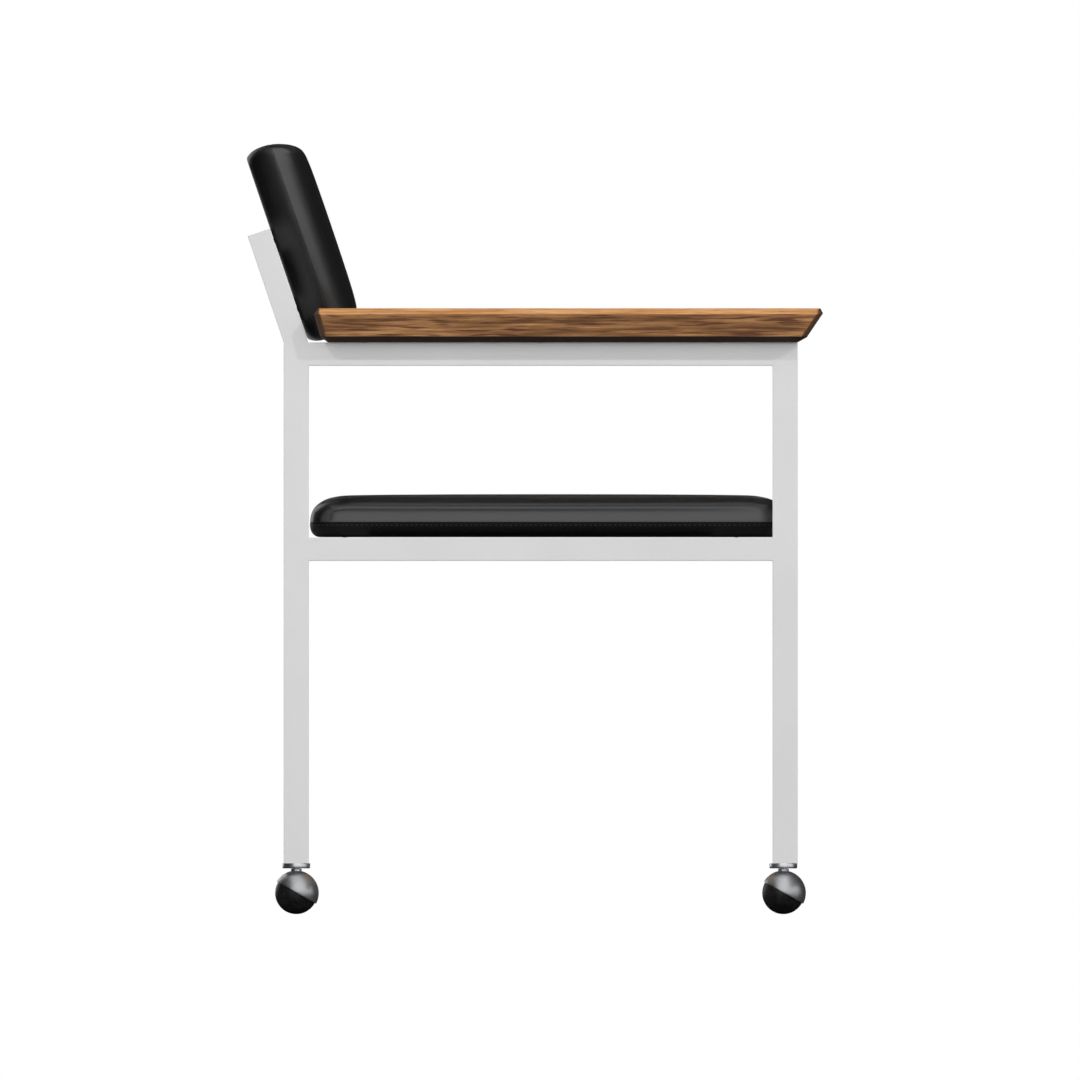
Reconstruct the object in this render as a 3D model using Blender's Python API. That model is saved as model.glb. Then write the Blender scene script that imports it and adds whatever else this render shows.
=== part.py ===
"""Office armchair on ball casters.

Two side frames of square steel tube, joined by cross rails, carry a padded seat, a tilted
padded back and solid wood armrests. Each leg stands on a ball caster: a turned hood over a
half-ball wheel on an inclined axle.

Lengths are in metres. +X is the chair's front, +Y the sitter's left and +Z up. The origin is
on the floor, under the middle of the chair's overall depth and width.
"""

import math

import bmesh
import bpy
from mathutils import Matrix, Vector

# Clearances
SEAT_GAP = 0.0003
CUT_OVERRUN = 0.002
MERGE_DISTANCE = 0.00001

# Frame tubes
TUBE_WIDTH = 0.0254
RAIL_DEPTH = 0.0235
TUBE_WALL = 0.0016
TUBE_CORNER = 0.0022
CORNER_STEPS = 2

# Frame layout
FRAME_DEPTH = 0.5172
FRAME_REAR_X = -0.2524
FRAME_INNER_WIDTH = 0.508
ARM_RAIL_TOP_Z = 0.5751
SEAT_RAIL_TOP_Z = 0.3789
BACK_TILT_DEG = 18.7
POST_LENGTH = 0.113
POST_CAP_THICKNESS = 0.002
LOWER_BACK_RAIL_RISE = 0.027

# Screws
SCREW_SHANK_RADIUS = 0.0022
SCREW_HEAD_RADIUS = 0.0046
SCREW_HEAD_HEIGHT = 0.0027
SCREW_HEAD_FLAT_SHARE = 0.5
SCREW_HEAD_SIDE_SHARE = 0.55
SCREW_TIP_LENGTH = 0.004
SCREW_HOLE_CLEARANCE = 0.0004
SCREW_ACCESS_RADIUS = 0.006
SCREW_SEGMENTS = 10
SCREW_HOLE_SEGMENTS = 10
ACCESS_SEGMENTS = 12

# Armrests
ARMREST_WIDTH = 0.060
ARMREST_THICKNESS = 0.0341
ARMREST_CHAMFER = 0.006
ARMREST_CORNER = 0.007
ARMREST_CORNER_STEPS = 2
ARMREST_FRONT_REACH_TOP = 0.0288
ARMREST_FRONT_REACH_BOTTOM = 0.0057
ARMREST_REAR_SETBACK_TOP = 0.0036
ARMREST_REAR_SETBACK_BOTTOM = 0.0130
ARM_SCREW_SHARES = (0.12, 0.5, 0.88)
ARM_PILOT_DEPTH = 0.018

# Seat
SEAT_FRONT_SETBACK = 0.0100
SEAT_SIDE_GAP = 0.004
SEAT_THICKNESS = 0.0426
SEAT_CORNER = 0.028
SEAT_DRAW_IN = 0.003
SEAT_EDGE_ROUNDING = 0.034
SEAT_BOARD_THICKNESS = 0.012
SEAT_BOARD_EDGE = 0.0115
SEAT_BOARD_CORNER = 0.018
TAB_LENGTH = 0.060
TAB_THICKNESS = 0.003
TAB_CLIP = 0.030
TAB_HOLE_INSET = 0.036
SEAT_SCREW_GRIP = 0.0095

# Edge profiles as shares of the edge rounding, first the inset along the cushion's own X and
# then along its Y, and of its thickness, for the rise. The seat's long sides tuck under below
# the crease, and the back's sides are barrelled.
# Crowns as (share of the way to the middle, rise share)
SEAT_EDGE_SHARES = (
    (0.18, 0.42, 0.0),
    (0.045, 0.28, 0.02),
    (0.014, 0.14, 0.12),
    (0.0, 0.0, 0.362),
    (0.02, 0.005, 0.50),
    (0.068, 0.03, 0.645),
    (0.21, 0.12, 0.785),
    (0.435, 0.34, 0.890),
    (0.70, 0.66, 0.945),
    (1.0, 1.0, 0.974),
)
SEAT_CROWN_SHARES = ((0.30, 0.988), (0.62, 0.997))
BACK_EDGE_SHARES = (
    (0.63, 0.28, 0.0),
    (0.34, 0.10, 0.10),
    (0.163, 0.02, 0.21),
    (0.054, 0.0, 0.335),
    (0.0, 0.03, 0.46),
    (0.10, 0.118, 0.60),
    (0.27, 0.235, 0.725),
    (0.52, 0.39, 0.83),
    (0.81, 0.56, 0.915),
    (1.13, 0.74, 0.962),
    (1.63, 1.0, 0.985),
)
BACK_CROWN_SHARES = ((0.30, 0.993), (0.62, 0.999))
CUSHION_CORNER_STEPS = 5
CUSHION_SIDE_STEPS = 5

# Back
BACK_THICKNESS = 0.0587
BACK_TOP_RISE = 0.1942
BACK_BOTTOM_DROP = 0.0111
BACK_SIDE_GAP = 0.0042
BACK_CORNER = 0.016
BACK_DRAW_IN = 0.003
BACK_EDGE_ROUNDING = 0.0221
BACK_BOARD_THICKNESS = 0.010
BACK_BOARD_COVER = 0.004
BACK_BOARD_MARGIN = 0.020
BACK_BOARD_CORNER = 0.012
BACK_SCREW_SPREAD = 0.280
BACK_PILOT_DEPTH = 0.008

# Caster wheel and hood, turned about the inclined axle
CASTER_TILT_DEG = 29.5
WHEEL_RADIUS = 0.0213
WHEEL_RIM_WIDTH = 0.0028
WHEEL_RECESS_DEPTH = 0.009
WHEEL_RECESS_DRAFT = 0.0012
WHEEL_HUB_RADIUS = 0.007
WHEEL_SEGMENTS = 20
WHEEL_FLOOR_BANDS = 2.5
WHEEL_LOWER_BANDS = 3
WHEEL_UPPER_BANDS = 4
HOOD_RIM_STEP = 0.0014
HOOD_WALL = 0.0012
HOOD_RIM_GAP = 0.0006
HOOD_CEILING = 0.0125
HOOD_BOSS_RADIUS = 0.0065
HOOD_BOSS_RISE = 0.0008
HOOD_FLAT_DROP = 0.0007
HOOD_ARC_STEPS = 7
HOOD_INNER_STEPS = 3
AXLE_RADIUS = 0.0025
AXLE_HOLE_END = 0.011
AXLE_IN_WHEEL = 0.0155
AXLE_TIP = 0.001
AXLE_BEAD_DEPTH = 0.0010
AXLE_BEAD_RADIUS = 0.0029
AXLE_BEAD_WIDTH = 0.0016
AXLE_BEAD_SLOPE_SHARE = 0.25
AXLE_CLEARANCE = 0.0003
AXLE_SEGMENTS = 12

# Caster stem, socket and leg plug, turned about the upright swivel axis
FRONT_CASTER_SETBACK = 0.0018
STEM_RADIUS = 0.0039
STEM_IN_HOOD = 0.0048
STEM_CHAMFER = 0.0006
STEM_TOP_SETBACK = 0.001
NECK_RADIUS = 0.0055
NECK_HEIGHT = 0.0021
FLANGE_RADIUS = 0.01405
FLANGE_THICKNESS = 0.00495
FLANGE_ROUND = 0.0015
SLEEVE_RADIUS = 0.006
SLEEVE_LENGTH = 0.031
SLEEVE_CLEARANCE = 0.0004
RING_DROP = 0.006
RING_HEIGHT = 0.0016
RING_INNER_RADIUS = 0.0032
RING_OUTER_RADIUS = 0.00465
RING_CLEARANCE = 0.0004
RING_OPENING_DEG = 60
PLUG_LENGTH = 0.034
PLUG_RIB_COUNT = 3
PLUG_RIB_DEPTH = 0.0016
PLUG_RIB_THICKNESS = 0.0024
STEM_SEGMENTS = 12
FLANGE_SEGMENTS = 20
FLANGE_ROUND_STEPS = 2
SLEEVE_HOLE_SEGMENTS = 16
RING_SEGMENTS = 10
SMOOTH_ANGLE_DEG = 35

# Places that follow from the sizes above
BALL_CENTRE_Z = WHEEL_RADIUS
HOOD_RADIUS = WHEEL_RADIUS + HOOD_RIM_STEP
NECK_LOW = HOOD_RADIUS - HOOD_FLAT_DROP + SEAT_GAP
NECK_HIGH = NECK_LOW + NECK_HEIGHT
FLANGE_LOW = NECK_HIGH + SEAT_GAP
FLANGE_HIGH = FLANGE_LOW + FLANGE_THICKNESS
SLEEVE_HIGH = FLANGE_HIGH + SLEEVE_LENGTH
LEG_BOTTOM_Z = BALL_CENTRE_Z + FLANGE_HIGH + SEAT_GAP
REAR_LEG_FRONT_X = FRAME_REAR_X + TUBE_WIDTH
FRAME_FRONT_X = FRAME_REAR_X + FRAME_DEPTH
FRONT_LEG_REAR_X = FRAME_FRONT_X - TUBE_WIDTH
REAR_LEG_X = FRAME_REAR_X + TUBE_WIDTH / 2
FRONT_LEG_X = FRAME_FRONT_X - TUBE_WIDTH / 2
INNER_Y = FRAME_INNER_WIDTH / 2
SIDE_Y = INNER_Y + TUBE_WIDTH / 2
SEAT_BASE_Z = SEAT_RAIL_TOP_Z + SEAT_GAP
ARMREST_BASE_Z = ARM_RAIL_TOP_Z + SEAT_GAP
SCREW_HOLE_RADIUS = SCREW_SHANK_RADIUS + SCREW_HOLE_CLEARANCE
BACK_TILT = math.radians(BACK_TILT_DEG)
CASTER_TILT = math.radians(CASTER_TILT_DEG)
SIDES = (("left", 1), ("right", -1))

# Colour, roughness and metallic value of each finish
FINISHES = {
    "grey_paint": ((0.66, 0.66, 0.66), 0.45, 0.0),
    "black_vinyl": ((0.012, 0.012, 0.012), 0.5, 0.0),
    "oiled_wood": ((0.27, 0.12, 0.05), 0.5, 0.0),
    "plywood": ((0.55, 0.38, 0.22), 0.7, 0.0),
    "polished_chrome": ((0.75, 0.75, 0.76), 0.12, 1.0),
    "black_tread": ((0.02, 0.02, 0.02), 0.4, 0.0),
    "black_nylon": ((0.03, 0.03, 0.03), 0.55, 0.0),
    "zinc_steel": ((0.55, 0.55, 0.55), 0.35, 1.0),
}


def clear_scene():
    """Removes whatever the scene holds."""
    for old in list(bpy.data.objects):
        bpy.data.objects.remove(old)


def finish_of(name):
    """The material of that finish, made when it is first asked for."""
    found = bpy.data.materials.get(name)
    if found is not None:
        return found
    colour, roughness, metallic = FINISHES[name]
    made = bpy.data.materials.new(name)
    made.use_nodes = True
    shader = made.node_tree.nodes["Principled BSDF"]
    shader.inputs["Base Color"].default_value = (*colour, 1.0)
    shader.inputs["Roughness"].default_value = roughness
    shader.inputs["Metallic"].default_value = metallic
    made.diffuse_color = (*colour, 1.0)
    return made


def add_object(name, bm, finish, place=None, parent=None, smooth=False):
    """An object from a bmesh, which it frees, with its faces turned outwards."""
    bmesh.ops.recalc_face_normals(bm, faces=bm.faces)
    mesh = bpy.data.meshes.new(name)
    bm.to_mesh(mesh)
    bm.free()
    if smooth:
        mesh.shade_smooth()
        mesh.set_sharp_from_angle(angle=math.radians(SMOOTH_ANGLE_DEG))
    mesh.materials.append(finish_of(finish))
    made = bpy.data.objects.new(name, mesh)
    bpy.context.scene.collection.objects.link(made)
    made.parent = parent
    if place is not None:
        made.matrix_local = place
    return made


def cut(target, name, bm, place=None, parent=None):
    """Takes the bmesh's shape out of the target, and frees the bmesh."""
    cutter = add_object(name, bm, target.data.materials[0].name, place, parent)
    cutter.hide_render = True
    cutter.display_type = "WIRE"
    boolean = target.modifiers.new(name, "BOOLEAN")
    boolean.operation = "DIFFERENCE"
    boolean.solver = "EXACT"
    boolean.object = cutter


def grow(bm, outlines):
    """Closes the first outline and carries its face through the others, which is a loft.

    Each outline is a list of points with as many points as the first.
    """
    foot = bm.faces.new([bm.verts.new(point) for point in outlines[0]])
    cap = foot
    for outline in outlines[1:]:
        passed = cap
        places = {tuple(corner.co): point for corner, point in zip(cap.verts, outline)}
        grown = bmesh.ops.extrude_face_region(bm, geom=[cap])["geom"]
        cap = next(item for item in grown if isinstance(item, bmesh.types.BMFace))
        corners = list(cap.verts)
        for corner in corners:
            corner.co = places[tuple(corner.co)]
        if passed is not foot:
            bmesh.ops.delete(bm, geom=[passed], context="FACES_ONLY")
    return cap


def rounded_rectangle(width, depth, radius, steps):
    """Points of a rectangle round the origin with rounded corners, anticlockwise."""
    points = []
    for corner, (side_x, side_y) in enumerate(((1, 1), (-1, 1), (-1, -1), (1, -1))):
        centre = Vector((side_x * (width / 2 - radius), side_y * (depth / 2 - radius)))
        for step in range(steps + 1):
            angle = math.pi / 2 * (corner + step / steps)
            points.append(centre + radius * Vector((math.cos(angle), math.sin(angle))))
    return points


def tube(name, width, depth, low_cut, high_cut, place):
    """An open square tube along its local Z, with the wall's section in local X and Y.

    Each cut is (height on the axis, rise for each unit of local X).
    """
    bm = bmesh.new()
    outer = rounded_rectangle(width, depth, TUBE_CORNER, CORNER_STEPS)
    inner = rounded_rectangle(
        width - 2 * TUBE_WALL,
        depth - 2 * TUBE_WALL,
        TUBE_CORNER - TUBE_WALL,
        CORNER_STEPS,
    )
    rings = []
    for height, slope in (low_cut, high_cut):
        for section in (outer, inner):
            ring = [bm.verts.new((p.x, p.y, height + slope * p.x)) for p in section]
            rings.append(ring)
    low_outer, low_inner, high_outer, high_inner = rings
    pairs = (
        (low_outer, high_outer),
        (high_inner, low_inner),
        (low_inner, low_outer),
        (high_outer, high_inner),
    )
    count = len(outer)
    for one, other in pairs:
        for i in range(count):
            j = (i + 1) % count
            bm.faces.new((one[i], one[j], other[j], other[i]))
    return add_object(name, bm, "grey_paint", place, smooth=True)


def plate(bm, outline, low, high):
    """A flat plate with that outline between two heights."""
    grow(bm, [[(x, y, height) for x, y in outline] for height in (low, high)])


def bar(bm, centre, radius, low, high, segments):
    """An upright round bar, for a hole or a bore."""
    depth = high - low
    place = Matrix.Translation((centre[0], centre[1], (low + high) / 2))
    bmesh.ops.create_cone(
        bm,
        cap_ends=True,
        segments=segments,
        radius1=radius,
        radius2=radius,
        depth=depth,
        matrix=place,
    )


def turn(bm, profile, segments, start_share=0.0):
    """Spins a profile of (radius, height) points about local Z.

    A profile that starts and ends on the axis is open, and any other is closed.
    The first point lies start_share of a segment past local X.
    """
    first_angle = 2 * math.pi / segments * start_share
    verts = [
        bm.verts.new((r * math.cos(first_angle), r * math.sin(first_angle), height))
        for r, height in profile
    ]
    edges = [bm.edges.new(pair) for pair in zip(verts, verts[1:])]
    if profile[0][0] > 0:
        edges.append(bm.edges.new((verts[-1], verts[0])))
    bmesh.ops.spin(
        bm,
        geom=verts + edges,
        cent=(0, 0, 0),
        axis=(0, 0, 1),
        angle=2 * math.pi,
        steps=segments,
        use_merge=True,
    )
    bmesh.ops.remove_doubles(bm, verts=bm.verts, dist=MERGE_DISTANCE)


def screw_mesh(length):
    """A round-headed screw: its head bears at local zero and its shank points up."""
    side = SCREW_HEAD_HEIGHT * SCREW_HEAD_SIDE_SHARE
    profile = (
        (0, length),
        (SCREW_SHANK_RADIUS, length - SCREW_TIP_LENGTH),
        (SCREW_SHANK_RADIUS, 0),
        (SCREW_HEAD_RADIUS, 0),
        (SCREW_HEAD_RADIUS, -side),
        (SCREW_HEAD_RADIUS * SCREW_HEAD_FLAT_SHARE, -SCREW_HEAD_HEIGHT),
        (0, -SCREW_HEAD_HEIGHT),
    )
    bm = bmesh.new()
    turn(bm, profile, SCREW_SEGMENTS)
    return bm


def back_place(rise, forward):
    """A place on the tilted back: local X is +Y, local Y runs up the post, local Z forward.

    rise is counted up the post from its foot, and forward from its rear face.
    """
    up = Vector((-math.sin(BACK_TILT), 0, math.cos(BACK_TILT)))
    out = Vector((math.cos(BACK_TILT), 0, math.sin(BACK_TILT)))
    across = Vector((0, 1, 0))
    foot = Vector((FRAME_REAR_X, 0, ARM_RAIL_TOP_Z))
    turned = Matrix((across, up, out)).transposed().to_4x4()
    return Matrix.Translation(foot + rise * up + forward * out) @ turned


def build_legs():
    """The four legs: the front ones are mitred at the top, the rear ones cut level."""
    mitre_slope = RAIL_DEPTH / TUBE_WIDTH
    mitre_drop = SEAT_GAP * math.hypot(1, mitre_slope)
    mitre_middle = ARM_RAIL_TOP_Z - RAIL_DEPTH / 2 - mitre_drop
    for side, sign in SIDES:
        tube(
            f"front_leg_{side}",
            TUBE_WIDTH,
            TUBE_WIDTH,
            (LEG_BOTTOM_Z, 0),
            (mitre_middle, mitre_slope),
            Matrix.Translation((FRONT_LEG_X, sign * SIDE_Y, 0)),
        )
        tube(
            f"rear_leg_{side}",
            TUBE_WIDTH,
            TUBE_WIDTH,
            (LEG_BOTTOM_Z, 0),
            (ARM_RAIL_TOP_Z, 0),
            Matrix.Translation((REAR_LEG_X, sign * SIDE_Y, 0)),
        )


def arm_screw_places():
    """X of each screw that holds an armrest."""
    rail_length = FRONT_LEG_REAR_X - REAR_LEG_FRONT_X
    return [REAR_LEG_FRONT_X + share * rail_length for share in ARM_SCREW_SHARES]


def build_side_rails():
    """Arm rails with their screw holes, and seat rails, on both sides."""
    quarter_turn = Matrix.Rotation(math.pi / 2, 4, "Y")
    mitre_slope = TUBE_WIDTH / RAIL_DEPTH
    arm_z = ARM_RAIL_TOP_Z - RAIL_DEPTH / 2
    seat_z = SEAT_RAIL_TOP_Z - RAIL_DEPTH / 2
    for side, sign in SIDES:
        arm_rail = tube(
            f"arm_rail_{side}",
            RAIL_DEPTH,
            TUBE_WIDTH,
            (REAR_LEG_FRONT_X + SEAT_GAP, 0),
            (FRONT_LEG_X, -mitre_slope),
            Matrix.Translation((0, sign * SIDE_Y, arm_z)) @ quarter_turn,
        )
        holes = bmesh.new()
        for x in arm_screw_places():
            centre = (x, sign * SIDE_Y)
            low = ARM_RAIL_TOP_Z - RAIL_DEPTH
            bar(
                holes,
                centre,
                SCREW_ACCESS_RADIUS,
                low - CUT_OVERRUN,
                low + TUBE_WALL + CUT_OVERRUN,
                ACCESS_SEGMENTS,
            )
            bar(
                holes,
                centre,
                SCREW_HOLE_RADIUS,
                ARM_RAIL_TOP_Z - TUBE_WALL - CUT_OVERRUN,
                ARM_RAIL_TOP_Z + CUT_OVERRUN,
                SCREW_HOLE_SEGMENTS,
            )
        cut(arm_rail, f"arm_rail_holes_{side}", holes)
        tube(
            f"seat_rail_{side}",
            RAIL_DEPTH,
            TUBE_WIDTH,
            (REAR_LEG_FRONT_X + SEAT_GAP, 0),
            (FRONT_LEG_REAR_X - SEAT_GAP, 0),
            Matrix.Translation((0, sign * SIDE_Y, seat_z)) @ quarter_turn,
        )


def build_posts():
    """The tilted back posts and the plates that close them."""
    upright = Matrix.Rotation(-BACK_TILT, 4, "Y")
    cap_low = POST_LENGTH - POST_CAP_THICKNESS
    # The post's local X runs forward from its middle, and its foot is cut level.
    foot_slope = -math.tan(BACK_TILT)
    foot_middle = (RAIL_DEPTH / 2) * foot_slope + SEAT_GAP / math.cos(BACK_TILT)
    forward = Vector((math.cos(BACK_TILT), 0, math.sin(BACK_TILT))) * RAIL_DEPTH / 2
    for side, sign in SIDES:
        foot = Vector((FRAME_REAR_X, sign * SIDE_Y, ARM_RAIL_TOP_Z))
        place = Matrix.Translation(foot + forward) @ upright
        tube(
            f"back_post_{side}",
            RAIL_DEPTH,
            TUBE_WIDTH,
            (foot_middle, foot_slope),
            (cap_low - SEAT_GAP, 0),
            place,
        )
        cap = bmesh.new()
        outline = rounded_rectangle(RAIL_DEPTH, TUBE_WIDTH, TUBE_CORNER, CORNER_STEPS)
        plate(cap, outline, cap_low, POST_LENGTH)
        add_object(f"post_cap_{side}", cap, "grey_paint", place, smooth=True)


def build_cross_rails():
    """The two rails that join the side frames at seat height."""
    along_y = Matrix.Rotation(-math.pi / 2, 4, "X")
    half = INNER_Y - SEAT_GAP
    z = SEAT_RAIL_TOP_Z - RAIL_DEPTH / 2
    for name, x in (("front", FRONT_LEG_X), ("rear", REAR_LEG_X)):
        tube(
            f"{name}_cross_rail",
            TUBE_WIDTH,
            RAIL_DEPTH,
            (-half, 0),
            (half, 0),
            Matrix.Translation((x, 0, z)) @ along_y,
        )


def back_rail_rises():
    """How far up the posts the middle of each back rail lies."""
    return {"lower": LOWER_BACK_RAIL_RISE, "upper": POST_LENGTH - TUBE_WIDTH / 2}


def back_screw_places():
    """(across, rise) of each screw that holds the back."""
    half = BACK_SCREW_SPREAD / 2
    return [(side * half, rise) for rise in back_rail_rises().values() for side in (1, -1)]


def build_back_rails():
    """The two rails between the posts, with screw holes in front and access holes behind."""
    half = INNER_Y - SEAT_GAP
    for name, rise in back_rail_rises().items():
        middle = back_place(rise, RAIL_DEPTH / 2)
        # Local Z of the tube runs across the chair and its local X runs up the post.
        stand = Matrix(((0, 0, 1), (1, 0, 0), (0, 1, 0))).to_4x4()
        rail = tube(
            f"{name}_back_rail",
            TUBE_WIDTH,
            RAIL_DEPTH,
            (-half, 0),
            (half, 0),
            middle @ stand,
        )
        holes = bmesh.new()
        for across, screw_rise in back_screw_places():
            if screw_rise != rise:
                continue
            centre = (across, screw_rise)
            bar(
                holes,
                centre,
                SCREW_ACCESS_RADIUS,
                -CUT_OVERRUN,
                TUBE_WALL + CUT_OVERRUN,
                ACCESS_SEGMENTS,
            )
            bar(
                holes,
                centre,
                SCREW_HOLE_RADIUS,
                RAIL_DEPTH - TUBE_WALL - CUT_OVERRUN,
                RAIL_DEPTH + CUT_OVERRUN,
                SCREW_HOLE_SEGMENTS,
            )
        cut(rail, f"{name}_back_rail_holes", holes, back_place(0, 0))


def seat_corners():
    """(name, x, y, way along X, way along Y) of each inner corner of the seat's frame."""
    corners = []
    for end, x, way in (("rear", REAR_LEG_FRONT_X, -1), ("front", FRONT_LEG_REAR_X, 1)):
        for side, sign in SIDES:
            corner_x = x - way * SEAT_GAP
            corner_y = sign * (INNER_Y - SEAT_GAP)
            corners.append((f"{end}_{side}", corner_x, corner_y, way, sign))
    return corners


def tab_hole(corner_x, corner_y, way, sign):
    """Where the screw hole of the tab in that corner lies."""
    return corner_x - way * TAB_HOLE_INSET, corner_y - sign * TAB_HOLE_INSET


def seat_screw_places():
    """(name, x, y) of each screw that holds the seat board to a tab."""
    return [(name, *tab_hole(*corner)) for name, *corner in seat_corners()]


def build_seat_tabs():
    """Corner plates, welded between a cross rail and a seat rail, with the seat's screw holes."""
    high = SEAT_RAIL_TOP_Z
    low = high - TAB_THICKNESS
    for name, corner_x, corner_y, way, sign in seat_corners():
        far_x = corner_x - way * TAB_LENGTH
        far_y = corner_y - sign * TAB_LENGTH
        outline = [
            (corner_x, corner_y),
            (far_x, corner_y),
            (far_x, far_y + sign * TAB_CLIP),
            (far_x + way * TAB_CLIP, far_y),
            (corner_x, far_y),
        ]
        bm = bmesh.new()
        plate(bm, outline, low, high)
        tab = add_object(f"seat_tab_{name}", bm, "grey_paint")
        hole = bmesh.new()
        bar(
            hole,
            tab_hole(corner_x, corner_y, way, sign),
            SCREW_HOLE_RADIUS,
            low - CUT_OVERRUN,
            high + CUT_OVERRUN,
            SCREW_HOLE_SEGMENTS,
        )
        cut(tab, f"seat_tab_hole_{name}", hole)


def seat_board_box():
    """Lowest and highest X and half the width of the seat board."""
    places = seat_screw_places()
    low_x = min(x for name, x, y in places) - SEAT_BOARD_EDGE
    high_x = max(x for name, x, y in places) + SEAT_BOARD_EDGE
    half_y = max(y for name, x, y in places) + SEAT_BOARD_EDGE
    return low_x, high_x, half_y


def seat_board_outline(clearance):
    """The seat board's outline, made larger all round by a clearance."""
    low_x, high_x, half_y = seat_board_box()
    middle = Vector(((low_x + high_x) / 2, 0))
    outline = rounded_rectangle(
        high_x - low_x + 2 * clearance,
        2 * (half_y + clearance),
        SEAT_BOARD_CORNER + clearance,
        CORNER_STEPS,
    )
    return [middle + point for point in outline]


def cushion_outline(width, depth, corner, draw_in, shrink):
    """A rounded rectangle whose sides draw in between the corners, made smaller by a share."""
    points = []
    half_x, half_y = width / 2, depth / 2
    corners = ((1, 1), (-1, 1), (-1, -1), (1, -1))
    for index, (side_x, side_y) in enumerate(corners):
        centre = Vector((side_x * (half_x - corner), side_y * (half_y - corner)))
        arc = []
        for step in range(CUSHION_CORNER_STEPS + 1):
            angle = math.pi / 2 * (index + step / CUSHION_CORNER_STEPS)
            arc.append(centre + corner * Vector((math.cos(angle), math.sin(angle))))
        points += arc
        next_x, next_y = corners[(index + 1) % len(corners)]
        next_centre = Vector((next_x * (half_x - corner), next_y * (half_y - corner)))
        outwards = (arc[-1] - centre).normalized()
        start, end = arc[-1], next_centre + corner * outwards
        for step in range(1, CUSHION_SIDE_STEPS):
            along = step / CUSHION_SIDE_STEPS
            pull = draw_in * math.sin(math.pi * along)
            points.append(start.lerp(end, along) - pull * outwards)
    return [point * shrink for point in points]


def cushion(width, depth, thickness, corner, draw_in, rounding, edge_shares, crown_shares):
    """A crowned pad: outlines that follow the edge profile, then shrink over the crown."""
    bm = bmesh.new()
    outlines = []
    for inset_x_share, inset_y_share, rise_share in edge_shares:
        top_width = width - 2 * inset_x_share * rounding
        top_depth = depth - 2 * inset_y_share * rounding
        outline = cushion_outline(top_width, top_depth, corner, draw_in, 1)
        outlines.append([(p.x, p.y, rise_share * thickness) for p in outline])
    for way_share, rise_share in crown_shares:
        outline = cushion_outline(top_width, top_depth, corner, draw_in, 1 - way_share)
        outlines.append([(p.x, p.y, rise_share * thickness) for p in outline])
    cap = grow(bm, outlines)
    middle = bmesh.ops.poke(bm, faces=[cap])["verts"][0]
    middle.co = (0, 0, thickness)
    return bm


def build_seat():
    """Seat board, seat cushion with its recess for the board, and the seat screws."""
    board_high = SEAT_BASE_Z + SEAT_BOARD_THICKNESS
    board_bm = bmesh.new()
    plate(board_bm, seat_board_outline(0), SEAT_BASE_Z, board_high)
    board = add_object("seat_board", board_bm, "plywood")
    pilots = bmesh.new()
    head_z = SEAT_RAIL_TOP_Z - TAB_THICKNESS - SEAT_GAP
    length = SEAT_BASE_Z + SEAT_SCREW_GRIP - head_z
    for name, x, y in seat_screw_places():
        bar(
            pilots,
            (x, y),
            SCREW_HOLE_RADIUS,
            SEAT_BASE_Z - CUT_OVERRUN,
            SEAT_BASE_Z + SEAT_SCREW_GRIP + SEAT_GAP,
            SCREW_HOLE_SEGMENTS,
        )
        place = Matrix.Translation((x, y, head_z))
        add_object(f"seat_screw_{name}", screw_mesh(length), "zinc_steel", place, smooth=True)
    cut(board, "seat_board_pilots", pilots)

    width = FRAME_INNER_WIDTH - 2 * SEAT_SIDE_GAP
    rear_x = REAR_LEG_FRONT_X + SEAT_GAP
    front_x = FRAME_FRONT_X - SEAT_FRONT_SETBACK
    pad_bm = cushion(
        front_x - rear_x,
        width,
        SEAT_THICKNESS,
        SEAT_CORNER,
        SEAT_DRAW_IN,
        SEAT_EDGE_ROUNDING,
        SEAT_EDGE_SHARES,
        SEAT_CROWN_SHARES,
    )
    place = Matrix.Translation(((rear_x + front_x) / 2, 0, SEAT_BASE_Z))
    pad = add_object("seat_cushion", pad_bm, "black_vinyl", place, smooth=True)
    recess = bmesh.new()
    plate(
        recess,
        seat_board_outline(SEAT_GAP),
        SEAT_BASE_Z - CUT_OVERRUN,
        board_high + SEAT_GAP,
    )
    cut(pad, "seat_cushion_recess", recess)


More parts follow.
